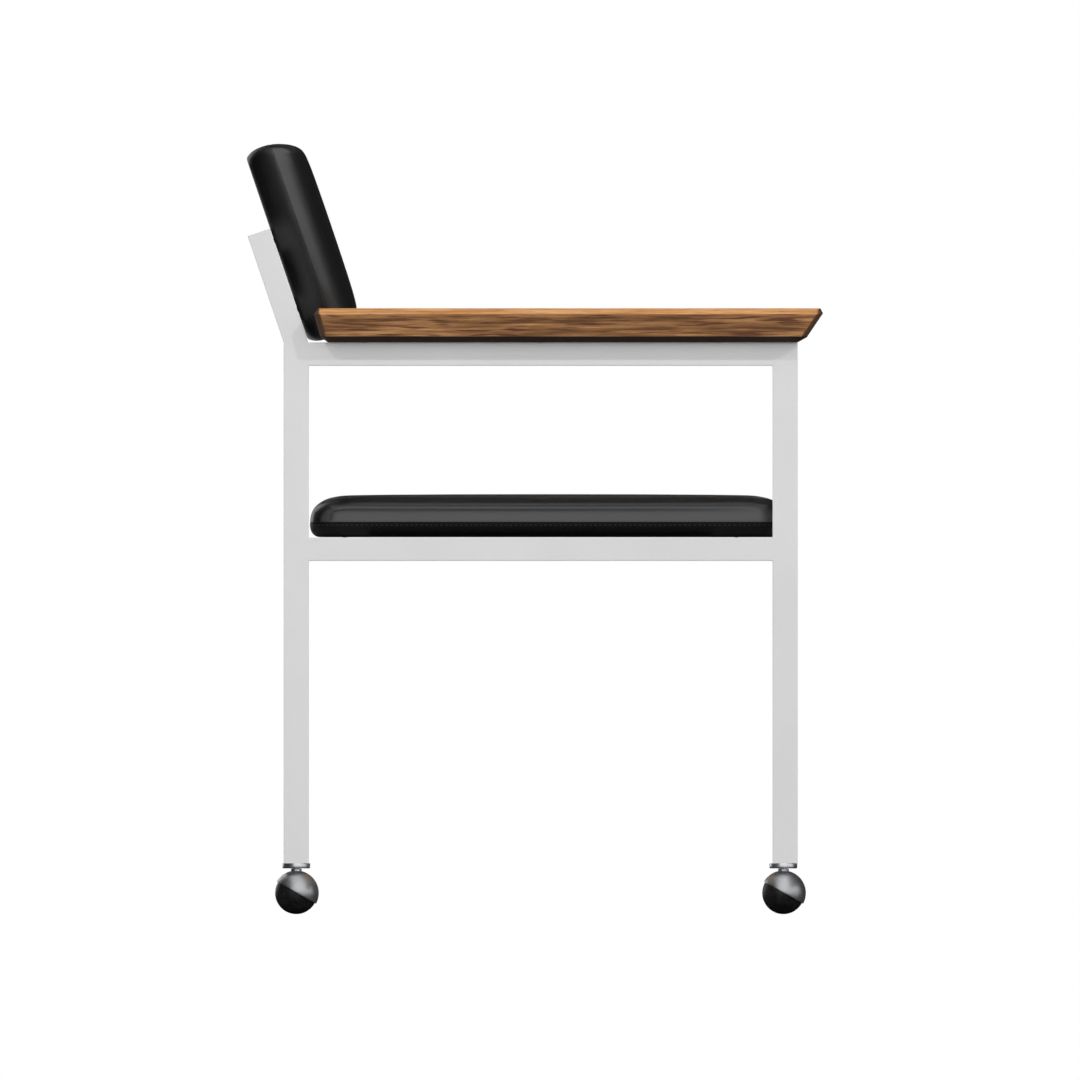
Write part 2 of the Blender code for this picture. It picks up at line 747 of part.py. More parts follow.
def build_back():
    """Back board sealed in the back cushion, with passages and pilot holes for its screws."""
    pad_rear = RAIL_DEPTH + SEAT_GAP
    board_rear = pad_rear + BACK_BOARD_COVER + SEAT_GAP
    board_front = board_rear + BACK_BOARD_THICKNESS
    pad_height = BACK_TOP_RISE + BACK_BOTTOM_DROP
    pad_middle = (BACK_TOP_RISE - BACK_BOTTOM_DROP) / 2
    between_arms = FRAME_INNER_WIDTH + TUBE_WIDTH - ARMREST_WIDTH
    pad_width = between_arms - 2 * BACK_SIDE_GAP
    board_width = pad_width - 2 * (BACK_BOARD_MARGIN + BACK_EDGE_ROUNDING / 2)
    board_height = pad_height - 2 * BACK_BOARD_MARGIN
    tilted = back_place(0, 0)

    def board_outline(clearance):
        outline = rounded_rectangle(
            board_width + 2 * clearance,
            board_height + 2 * clearance,
            BACK_BOARD_CORNER + clearance,
            CORNER_STEPS,
        )
        return [point + Vector((0, pad_middle)) for point in outline]

    board_bm = bmesh.new()
    plate(board_bm, board_outline(0), board_rear, board_front)
    board = add_object("back_board", board_bm, "plywood", tilted)
    pad_bm = cushion(
        pad_width,
        pad_height,
        BACK_THICKNESS,
        BACK_CORNER,
        BACK_DRAW_IN,
        BACK_EDGE_ROUNDING,
        BACK_EDGE_SHARES,
        BACK_CROWN_SHARES,
    )
    pad = add_object(
        "back_cushion",
        pad_bm,
        "black_vinyl",
        back_place(pad_middle, pad_rear),
        smooth=True,
    )
    pilots = bmesh.new()
    hollow = bmesh.new()
    plate(hollow, board_outline(SEAT_GAP), board_rear - SEAT_GAP, board_front + SEAT_GAP)
    passages = bmesh.new()
    for across, rise in back_screw_places():
        bar(
            pilots,
            (across, rise),
            SCREW_HOLE_RADIUS,
            board_rear - CUT_OVERRUN,
            board_rear + BACK_PILOT_DEPTH,
            SCREW_HOLE_SEGMENTS,
        )
        bar(
            passages,
            (across, rise),
            SCREW_HOLE_RADIUS,
            pad_rear - CUT_OVERRUN,
            board_rear + SEAT_GAP,
            SCREW_HOLE_SEGMENTS,
        )
    cut(board, "back_board_pilots", pilots, tilted)
    cut(pad, "back_cushion_hollow", hollow, tilted)
    cut(pad, "back_cushion_passages", passages, tilted)


def build_armrests():
    """Solid wood armrests, undercut at both ends, with pilot holes for their screws."""
    front = (
        FRAME_FRONT_X + ARMREST_FRONT_REACH_BOTTOM,
        FRAME_FRONT_X + ARMREST_FRONT_REACH_TOP,
    )
    rear = (
        REAR_LEG_FRONT_X + ARMREST_REAR_SETBACK_BOTTOM,
        REAR_LEG_FRONT_X + ARMREST_REAR_SETBACK_TOP,
    )
    for side, sign in SIDES:
        bm = bmesh.new()
        bmesh.ops.create_cube(bm, size=1)
        for vert in bm.verts:
            level = 1 if vert.co.z > 0 else 0
            ends = front if vert.co.x > 0 else rear
            vert.co.x = ends[level]
            vert.co.y = sign * SIDE_Y + vert.co.y * ARMREST_WIDTH
            vert.co.z = ARMREST_BASE_Z + level * ARMREST_THICKNESS
        upright = [
            edge
            for edge in bm.edges
            if abs(edge.verts[0].co.z - edge.verts[1].co.z) > ARMREST_THICKNESS / 2
        ]
        bmesh.ops.bevel(
            bm,
            geom=upright,
            affect="EDGES",
            offset=ARMREST_CORNER,
            offset_type="OFFSET",
            segments=ARMREST_CORNER_STEPS,
            profile=0.5,
            material=-1,
        )
        level_edges = [
            edge
            for edge in bm.edges
            if abs(edge.verts[0].co.z - edge.verts[1].co.z) < ARMREST_THICKNESS / 2
        ]
        bmesh.ops.bevel(
            bm,
            geom=level_edges,
            affect="EDGES",
            offset=ARMREST_CHAMFER,
            offset_type="OFFSET",
            segments=1,
            profile=0.5,
            material=-1,
        )
        armrest = add_object(f"armrest_{side}", bm, "oiled_wood")
        pilots = bmesh.new()
        for x in arm_screw_places():
            bar(
                pilots,
                (x, sign * SIDE_Y),
                SCREW_HOLE_RADIUS,
                ARMREST_BASE_Z - CUT_OVERRUN,
                ARMREST_BASE_Z + ARM_PILOT_DEPTH,
                SCREW_HOLE_SEGMENTS,
            )
        cut(armrest, f"armrest_pilots_{side}", pilots)


def arc(radius, first_deg, last_deg, steps):
    """(distance from the axle, height along it) points on a ball, by angle from the lower pole."""
    points = []
    for step in range(steps + 1):
        angle = math.radians(first_deg + (last_deg - first_deg) * step / steps)
        points.append((radius * math.sin(angle), -radius * math.cos(angle)))
    return points


def wheel_mesh():
    """Half-ball wheel with a hollow face, a hub and a bore whose groove holds the axle's bead."""
    half_gap = HOOD_RIM_GAP / 2
    rim_deg = 90 - math.degrees(math.asin(half_gap / WHEEL_RADIUS))
    lower_deg = CASTER_TILT_DEG / WHEEL_FLOOR_BANDS * WHEEL_LOWER_BANDS
    ball = arc(WHEEL_RADIUS, 0, lower_deg, WHEEL_LOWER_BANDS)
    ball += arc(WHEEL_RADIUS, lower_deg, rim_deg, WHEEL_UPPER_BANDS)[1:]
    rim_inner = WHEEL_RADIUS - WHEEL_RIM_WIDTH
    hub_top = HOOD_BOSS_RISE - SEAT_GAP
    bore = AXLE_RADIUS + AXLE_CLEARANCE
    groove = AXLE_BEAD_RADIUS + AXLE_CLEARANCE
    groove_low = -AXLE_IN_WHEEL + AXLE_TIP + AXLE_BEAD_DEPTH - SEAT_GAP
    groove_high = groove_low + AXLE_BEAD_WIDTH + 2 * SEAT_GAP
    bore_end = -AXLE_IN_WHEEL - SEAT_GAP
    profile = ball + [
        (rim_inner, -half_gap),
        (rim_inner - WHEEL_RECESS_DRAFT, -WHEEL_RECESS_DEPTH),
        (WHEEL_HUB_RADIUS, -WHEEL_RECESS_DEPTH),
        (WHEEL_HUB_RADIUS, hub_top),
        (bore, hub_top),
        (bore, groove_high),
        (groove, groove_high),
        (groove, groove_low),
        (bore, groove_low),
        (bore, bore_end),
        (0, bore_end),
    ]
    bm = bmesh.new()
    turn(bm, profile, WHEEL_SEGMENTS, start_share=0.5)
    return bm


def hood_mesh():
    """Half-ball hood: a thin rim round the hollow, a solid crown and a boss for the axle."""
    half_gap = HOOD_RIM_GAP / 2
    inner_radius = HOOD_RADIUS - HOOD_WALL
    outer_rim_deg = 90 + math.degrees(math.asin(half_gap / HOOD_RADIUS))
    inner_rim_deg = 90 + math.degrees(math.asin(half_gap / inner_radius))
    ceiling_deg = 90 + math.degrees(math.asin(HOOD_CEILING / inner_radius))
    bore = AXLE_RADIUS + AXLE_CLEARANCE
    profile = arc(HOOD_RADIUS, 180, outer_rim_deg, HOOD_ARC_STEPS)
    profile[0] = (0, HOOD_RADIUS)
    profile += arc(inner_radius, inner_rim_deg, ceiling_deg, HOOD_INNER_STEPS)
    profile += [
        (HOOD_BOSS_RADIUS, HOOD_CEILING),
        (HOOD_BOSS_RADIUS, HOOD_BOSS_RISE),
        (bore, HOOD_BOSS_RISE),
        (bore, AXLE_HOLE_END),
        (0, AXLE_HOLE_END),
    ]
    bm = bmesh.new()
    turn(bm, profile, WHEEL_SEGMENTS)
    return bm


def axle_mesh():
    """Inclined pin, fixed in the hood's boss, with the bead that the wheel snaps over."""
    top = AXLE_HOLE_END - SEAT_GAP
    end = -AXLE_IN_WHEEL
    bead_low = end + AXLE_TIP + AXLE_BEAD_DEPTH
    bead_high = bead_low + AXLE_BEAD_WIDTH
    profile = (
        (0, top),
        (AXLE_RADIUS - AXLE_TIP / 2, top),
        (AXLE_RADIUS, top - AXLE_TIP / 2),
        (AXLE_RADIUS, bead_high),
        (AXLE_BEAD_RADIUS, bead_high - AXLE_BEAD_WIDTH * AXLE_BEAD_SLOPE_SHARE),
        (AXLE_BEAD_RADIUS, bead_low + AXLE_BEAD_WIDTH * AXLE_BEAD_SLOPE_SHARE),
        (AXLE_RADIUS, bead_low),
        (AXLE_RADIUS, end + AXLE_TIP),
        (AXLE_RADIUS - AXLE_TIP, end),
        (0, end),
    )
    bm = bmesh.new()
    turn(bm, profile, AXLE_SEGMENTS)
    return bm


def ring_levels():
    """Lowest and highest level of the grip ring above the ball's centre."""
    high = SLEEVE_HIGH - STEM_TOP_SETBACK - RING_DROP
    return high - RING_HEIGHT, high


def stem_mesh():
    """Swivel stem: a foot held in the hood, a neck that carries the load and a grooved pin."""
    top = SLEEVE_HIGH - STEM_TOP_SETBACK
    foot = HOOD_RADIUS - HOOD_FLAT_DROP - STEM_IN_HOOD
    ring_low, ring_high = ring_levels()
    groove = RING_INNER_RADIUS - SEAT_GAP
    profile = (
        (0, top),
        (STEM_RADIUS - STEM_CHAMFER, top),
        (STEM_RADIUS, top - STEM_CHAMFER),
        (STEM_RADIUS, ring_high + SEAT_GAP),
        (groove, ring_high + SEAT_GAP),
        (groove, ring_low - SEAT_GAP),
        (STEM_RADIUS, ring_low - SEAT_GAP),
        (STEM_RADIUS, NECK_HIGH),
        (NECK_RADIUS, NECK_HIGH),
        (NECK_RADIUS, NECK_LOW),
        (STEM_RADIUS, NECK_LOW),
        (STEM_RADIUS, foot),
        (0, foot),
    )
    bm = bmesh.new()
    turn(bm, profile, STEM_SEGMENTS)
    return bm


def grip_ring_mesh():
    """Open spring ring in the stem's groove."""
    low, high = ring_levels()
    bm = bmesh.new()
    half_opening = math.radians(RING_OPENING_DEG) / 2
    corners = (
        (RING_INNER_RADIUS, low),
        (RING_OUTER_RADIUS, low),
        (RING_OUTER_RADIUS, high),
        (RING_INNER_RADIUS, high),
    )
    along = Vector((math.cos(half_opening), math.sin(half_opening), 0))
    verts = [bm.verts.new(along * r + Vector((0, 0, z))) for r, z in corners]
    face = bm.faces.new(verts)
    bmesh.ops.spin(
        bm,
        geom=[face],
        cent=(0, 0, 0),
        axis=(0, 0, 1),
        angle=2 * math.pi - 2 * half_opening,
        steps=RING_SEGMENTS,
    )
    return bm


def socket_mesh():
    """Flange under the leg and the sleeve that stands in the leg's plug."""
    bore = STEM_RADIUS + SLEEVE_CLEARANCE
    groove = RING_OUTER_RADIUS + RING_CLEARANCE
    ring_low, ring_high = ring_levels()
    profile = [
        (SLEEVE_RADIUS, SLEEVE_HIGH),
        (SLEEVE_RADIUS, FLANGE_HIGH),
        (FLANGE_RADIUS, FLANGE_HIGH),
    ]
    centre_r = FLANGE_RADIUS - FLANGE_ROUND
    centre_z = FLANGE_LOW + FLANGE_ROUND
    for step in range(FLANGE_ROUND_STEPS + 1):
        angle = -math.pi / 2 * step / FLANGE_ROUND_STEPS
        profile.append(
            (
                centre_r + FLANGE_ROUND * math.cos(angle),
                centre_z + FLANGE_ROUND * math.sin(angle),
            )
        )
    profile += [
        (bore, FLANGE_LOW),
        (bore, ring_low - RING_CLEARANCE),
        (groove, ring_low - RING_CLEARANCE),
        (groove, ring_high + RING_CLEARANCE),
        (bore, ring_high + RING_CLEARANCE),
        (bore, SLEEVE_HIGH),
    ]
    bm = bmesh.new()
    turn(bm, profile, FLANGE_SEGMENTS)
    return bm


def plug_mesh():
    """Square leg plug, ribbed outside, standing on the leg's lower edge."""
    rib_side = TUBE_WIDTH - 2 * TUBE_WALL - 2 * SEAT_GAP
    core_side = rib_side - 2 * PLUG_RIB_DEPTH
    pitch = (PLUG_LENGTH - PLUG_RIB_THICKNESS) / (PLUG_RIB_COUNT - 1)
    corner = TUBE_CORNER - TUBE_WALL
    outlines = []
    for rib in range(PLUG_RIB_COUNT):
        low = rib * pitch
        high = low + PLUG_RIB_THICKNESS
        steps = [(core_side, low), (rib_side, low), (rib_side, high), (core_side, high)]
        if rib == 0:
            steps = steps[1:]
        if rib == PLUG_RIB_COUNT - 1:
            steps = steps[:-1]
        for side, height in steps:
            outline = rounded_rectangle(side, side, corner, 1)
            outlines.append([(p.x, p.y, height) for p in outline])
    bm = bmesh.new()
    grow(bm, outlines)
    return bm


def empty(name, parent, place):
    """An axis for moving pieces to hang from."""
    made = bpy.data.objects.new(name, None)
    bpy.context.scene.collection.objects.link(made)
    made.parent = parent
    made.matrix_local = place
    return made


def build_caster(name, leg_x, setback, y):
    """One caster under the leg at leg_x: plug, socket, and the swivel and wheel on their axes."""
    caster_x = leg_x - setback
    plug = add_object(
        f"leg_plug_{name}",
        plug_mesh(),
        "black_nylon",
        Matrix.Translation((leg_x, y, LEG_BOTTOM_Z)),
    )
    bore = bmesh.new()
    bar(
        bore,
        (caster_x, y),
        SLEEVE_RADIUS + SEAT_GAP,
        LEG_BOTTOM_Z - CUT_OVERRUN,
        LEG_BOTTOM_Z + PLUG_LENGTH + CUT_OVERRUN,
        SLEEVE_HOLE_SEGMENTS,
    )
    cut(plug, f"leg_plug_bore_{name}", bore)

    centre = Matrix.Translation((caster_x, y, BALL_CENTRE_Z))
    add_object(f"socket_{name}", socket_mesh(), "polished_chrome", centre, smooth=True)
    swivel = empty(f"swivel_axis_{name}", None, centre)
    inclined = Matrix.Rotation(CASTER_TILT, 4, "Y")
    axle_line = empty(f"axle_axis_{name}", swivel, inclined)
    here = Matrix.Identity(4)
    add_object(f"stem_{name}", stem_mesh(), "polished_chrome", here, swivel, smooth=True)
    add_object(f"grip_ring_{name}", grip_ring_mesh(), "zinc_steel", here, swivel)
    hood = add_object(
        f"hood_{name}",
        hood_mesh(),
        "polished_chrome",
        here,
        axle_line,
        smooth=True,
    )
    add_object(f"axle_{name}", axle_mesh(), "zinc_steel", here, axle_line, smooth=True)
    add_object(f"wheel_{name}", wheel_mesh(), "black_tread", here, axle_line, smooth=True)

    # The neck's seat is a flat on the hood's crown, and the stem's foot stands in a blind hole.
    seat_level = HOOD_RADIUS - HOOD_FLAT_DROP
    hole_radius = STEM_RADIUS + SEAT_GAP
    hole_end = seat_level - STEM_IN_HOOD - SEAT_GAP
    above = HOOD_RADIUS + CUT_OVERRUN
    flat_radius = math.sqrt(HOOD_RADIUS**2 - seat_level**2) + CUT_OVERRUN
    profile = (
        (0, hole_end),
        (hole_radius, hole_end),
        (hole_radius, seat_level),
        (flat_radius, seat_level),
        (flat_radius, above),
        (0, above),
    )
    stem_hole = bmesh.new()
    turn(stem_hole, profile, STEM_SEGMENTS)
    cut(hood, f"hood_stem_hole_{name}", stem_hole, here, swivel)


def build_casters():
    """The four casters, the front ones set back a little under their legs."""
    for end, leg_x, setback in (
        ("front", FRONT_LEG_X, FRONT_CASTER_SETBACK),
        ("rear", REAR_LEG_X, 0),
    ):
        for side, sign in SIDES:
            build_caster(f"{end}_{side}", leg_x, setback, sign * SIDE_Y)


def main():
    """Builds the whole chair."""
    clear_scene()
    build_legs()
    build_side_rails()
    build_posts()
    build_cross_rails()
    build_back_rails()
    build_seat_tabs()
    build_seat()
    build_back()
    build_armrests()
    build_casters()


if __name__ == "__main__":
    main()
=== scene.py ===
"""Looks of an office armchair on ball casters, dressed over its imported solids.

Lengths are in metres. +X is the chair's front, +Y the sitter's left and +Z up.
"""

import logging
import math
from collections.abc import Iterable, Sequence
from dataclasses import dataclass, field
from enum import Enum, IntEnum

import bmesh
import bpy
from mathutils import Matrix, Vector


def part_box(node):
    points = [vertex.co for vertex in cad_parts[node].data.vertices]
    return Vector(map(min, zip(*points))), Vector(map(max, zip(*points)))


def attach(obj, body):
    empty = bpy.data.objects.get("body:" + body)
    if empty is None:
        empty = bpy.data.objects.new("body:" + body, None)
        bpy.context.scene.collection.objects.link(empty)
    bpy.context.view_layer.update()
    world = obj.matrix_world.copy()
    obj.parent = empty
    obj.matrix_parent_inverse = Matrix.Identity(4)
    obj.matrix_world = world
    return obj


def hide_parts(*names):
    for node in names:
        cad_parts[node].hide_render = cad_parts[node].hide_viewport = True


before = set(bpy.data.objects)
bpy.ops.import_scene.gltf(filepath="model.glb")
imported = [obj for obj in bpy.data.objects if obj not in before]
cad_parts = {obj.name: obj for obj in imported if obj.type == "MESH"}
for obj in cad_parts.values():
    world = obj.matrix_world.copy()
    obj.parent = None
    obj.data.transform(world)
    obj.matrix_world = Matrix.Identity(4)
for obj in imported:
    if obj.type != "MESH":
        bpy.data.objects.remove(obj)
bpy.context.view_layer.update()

log = logging.getLogger("armchair")

BMesh = bmesh.types.BMesh
Socket = bpy.types.NodeSocket
Stops = tuple[tuple[float, str], ...]
Triple = tuple[float, float, float]

CHAIR = "chair"
MERGE = 1e-6
ALL_SMOOTH = 180.0
# Most values of a noise lie in this span.
NOISE_SPAN = {"From Min": 0.3, "From Max": 0.7}
WHITE = (1.0, 1.0, 1.0, 1.0)


def mm(value: float) -> float:
    """Millimetres as metres."""
    return value / 1000


class Slot(Enum):
    """The record's material slots."""

    PAINT = "grey_paint"
    VINYL = "black_vinyl"
    WOOD = "oiled_wood"
    CHROME = "polished_chrome"
    TREAD = "black_tread"
    ZINC = "zinc_steel"


class Axis(IntEnum):
    """The axes, by their numbers."""

    X = 0
    Y = 1
    Z = 2


class Way(Enum):
    """A direction out from the chair's middle, as a sign."""

    @property
    def word(self) -> str:
        """The direction's word in the names of pieces."""
        return self.name.lower()

    @property
    def inner(self) -> int:
        """Which corner of a box out there is the inner one: 0 for its low, 1 for its high."""
        return 0 if self.value > 0 else 1


class Side(Way):
    """The chair's two sides, as the sign of Y."""

    LEFT = 1
    RIGHT = -1


class End(Way):
    """The chair's two ends, as the sign of X."""

    FRONT = 1
    REAR = -1


class Cut(Enum):
    """What a second solid does to the first."""

    JOIN = "UNION"
    TAKE = "DIFFERENCE"


class Bevel(Enum):
    """What a bevel cuts back."""

    EDGES = "EDGES"
    CORNERS = "VERTICES"


CORNERS = [(f"{end.word}_{side.word}", end, side) for end in End for side in Side]


def linear(code: str) -> tuple[float, float, float, float]:
    """Turns an sRGB hex colour into linear RGBA.

    Args:
        code: A colour such as #D5D5D3.

    Returns:
        Red, green, blue and alpha, from 0 to 1.
    """
    parts = [int(code[i : i + 2], 16) / 255 for i in (1, 3, 5)]
    bent = [p / 12.92 if p <= 0.04045 else ((p + 0.055) / 1.055) ** 2.4 for p in parts]
    return (*bent, 1.0)


@dataclass
class Nodes:
    """The nodes of a material or of the world."""

    tree: bpy.types.NodeTree

    def add(
        self, kind: str, out: str, inputs: dict | None = None, stops: Stops = (), **settings: object
    ) -> Socket:
        """Adds a node with its settings and links.

        Args:
            kind: The node's type, without ShaderNode.
            out: The output that is asked for.
            inputs: For each input, by name or number, a value or a socket to link from.
            stops: A colour ramp's places, from 0 to 1, each with a hex colour.
            settings: Properties of the node itself.

        Returns:
            That output's socket.
        """
        node = self.tree.nodes.new(f"ShaderNode{kind}")
        for name, value in settings.items():
            setattr(node, name, value)
        self.fill(node, inputs or {})
        if stops:
            elements = node.color_ramp.elements
            while len(elements) < len(stops):
                elements.new(0.5)
            for element, (place, code) in zip(elements, stops):
                element.position = place
                element.color = linear(code)
        return node.outputs[out]

    def fill(self, node: bpy.types.Node, inputs: dict) -> None:
        """Sets or links a node's inputs.

        Args:
            node: The node.
            inputs: For each input, by name or number, a value or a socket to link from.
        """
        for key, value in inputs.items():
            if isinstance(value, Socket):
                self.tree.links.new(value, node.inputs[key])
            else:
                node.inputs[key].default_value = value

    def surface(self, inputs: dict) -> None:
        """Sets or links the inputs of a material's own shader."""
        self.fill(self.tree.nodes["Principled BSDF"], inputs)

    def seen(self) -> Socket:
        """Tells what is seen from what is only lit.

        Returns:
            The socket that is 1 for what the camera, a mirror or a glass sees, and else 0.
        """
        seen = self.add("LightPath", "Is Camera Ray")
        rays = seen.node.outputs
        for kind in ("Is Glossy Ray", "Is Transmission Ray"):
            seen = self.add("Math", "Value", {0: seen, 1: rays[kind]}, operation="MAXIMUM")
        return seen


@dataclass(frozen=True)
class Finish:
    """A finish that makes its material when it is first asked for."""

    name: str = "finish"

    def material(self) -> bpy.types.Material:
        """Finds or makes the material that all the pieces with this finish share.

        Returns:
            The material.
        """
        made = bpy.data.materials.get(self.name)
        if made is None:
            made = bpy.data.materials.new(self.name)
            made.use_nodes = True
            self.dress(Nodes(made.node_tree))
        return made

    def dress(self, nodes: Nodes) -> None:
        """Adds the finish's nodes to its material's."""
        raise NotImplementedError


@dataclass(frozen=True)
class Patterned(Finish):
    """A finish with a broad mottle in its colour and gloss, and a grain in its surface.

    The mottle and the grain are the sizes of their lumps. Each pair of roughnesses holds at the
    mottle's low and its high.
    """

    stops: Stops = ()
    roughness: tuple[float, float] = (0.5, 0.5)
    shine: float = 0.5
    metallic: float = 0.0
    stretch: Triple = (1.0, 1.0, 1.0)
    mottle: float = 1.0
    mottle_detail: float = 2.0
    grain: float = 1.0
    grain_detail: float = 2.0
    depth: float = 0.0

    def dress(self, nodes: Nodes) -> None:
        """Adds the mottle and the grain. What is the same all over is set on the shader.

        Args:
            nodes: The material's nodes.
        """
        here = nodes.add("TexCoord", "Object")
        here = nodes.add("Mapping", "Vector", {"Vector": here, "Scale": self.stretch})
        lumps = {"Vector": here, "Scale": 1 / self.mottle, "Detail": self.mottle_detail}
        mottle = nodes.add("TexNoise", "Fac", lumps)
        colour = linear(self.stops[0][1])
        if len(self.stops) > 1:
            colour = nodes.add("ValToRGB", "Color", {"Fac": mottle}, self.stops)
        rough, other = self.roughness
        if rough != other:
            rough = self.gloss(nodes, mottle)
        nodes.surface({"Base Color": colour, "Roughness": rough, "Metallic": self.metallic})
        nodes.surface({"Specular IOR Level": self.shine})
        if self.depth:
            lumps = {"Vector": here, "Scale": 1 / self.grain, "Detail": self.grain_detail}
            self.emboss(nodes, nodes.add("TexNoise", "Fac", lumps))

    def gloss(self, nodes: Nodes, mottle: Socket) -> Socket:
        """Turns the mottle into a roughness.

        Args:
            nodes: The material's nodes.
            mottle: The mottle's socket.

        Returns:
            The roughness's socket.
        """
        low, high = self.roughness
        span = {"Value": mottle, **NOISE_SPAN, "To Min": low, "To Max": high}
        return nodes.add("MapRange", "Result", span)

    def emboss(self, nodes: Nodes, height: Socket) -> None:
        """Raises the surface by a height, as deep as the finish's own depth."""
        bump = nodes.add("Bump", "Normal", {"Height": height, "Distance": self.depth})
        nodes.surface({"Normal": bump})


@dataclass(frozen=True)
class PowderCoat(Patterned):
    """Polyester powder, sprayed on the steel and baked: an even satin grey with orange peel."""

    name: str = "powder_coated_steel"
    stops: Stops = ((0.3, "#CECECE"), (0.7, "#D2D2D2"))
    roughness: tuple[float, float] = (0.42, 0.5)
    shine: float = 0.3
    mottle: float = mm(90)
    grain: float = mm(1.4)
    grain_detail: float = 1.0
    depth: float = mm(0.012)


@dataclass(frozen=True)
class CoatedFabric(Patterned):
    """Vinyl-coated upholstery cloth, embossed in the roll: black, with a soft sheen, broad
    rubbed patches and a grain of pebbles, drawn coarse enough to show."""

    name: str = "black_upholstery_vinyl"
    stops: Stops = ((0.2, "#0C0C0D"), (0.8, "#131314"))
    roughness: tuple[float, float] = (0.34, 0.3)
    shine: float = 0.9
    index: float = 1.6
    mottle: float = mm(60)
    mottle_detail: float = 3.0
    grain: float = mm(1.1)
    depth: float = mm(0.02)
    crease_reach: float = 0.75
    crown_reach: float = 0.1

    def dress(self, nodes: Nodes) -> None:
        """Adds the pebbles, with painted shade in their creases, and the rubbed patches.

        Args:
            nodes: The material's nodes.
        """
        here = nodes.add("TexCoord", "Object")
        reach = nodes.add("TexVoronoi", "Distance", {"Vector": here, "Scale": 1 / self.grain})
        span = {"Value": reach, "From Min": self.crease_reach, "From Max": self.crown_reach}
        pebbles = nodes.add("MapRange", "Result", span)
        lumps = {"Vector": here, "Scale": 1 / self.mottle, "Detail": self.mottle_detail}
        rubbed = self.gloss(nodes, nodes.add("TexNoise", "Fac", lumps))
        # The darker colour in the pebbles' creases is painted shade.
        colour = nodes.add("ValToRGB", "Color", {"Fac": pebbles}, self.stops)
        nodes.surface({"Base Color": colour, "Roughness": rubbed})
        nodes.surface({"IOR": self.index, "Specular IOR Level": self.shine})
        self.emboss(nodes, pebbles)


@dataclass(frozen=True)
class BorderFabric(CoatedFabric):
    """The cloth of the borders past the seams: the same grain, duller, and near black as painted shade.
    """

    name: str = "border_vinyl_painted_shade"
    # Near black past the seam: painted shade.
    stops: Stops = ((0.2, "#040404"), (0.8, "#080808"))
    roughness: tuple[float, float] = (0.6, 0.5)
    shine: float = 0.16


@dataclass(frozen=True)
class BackBorderFabric(BorderFabric):
    """The back's border cloth, which hands and walls have rubbed up a little, with the border's painted
    shade.
    """

    name: str = "rubbed_border_vinyl"
    roughness: tuple[float, float] = (0.46, 0.4)
    shine: float = 0.55


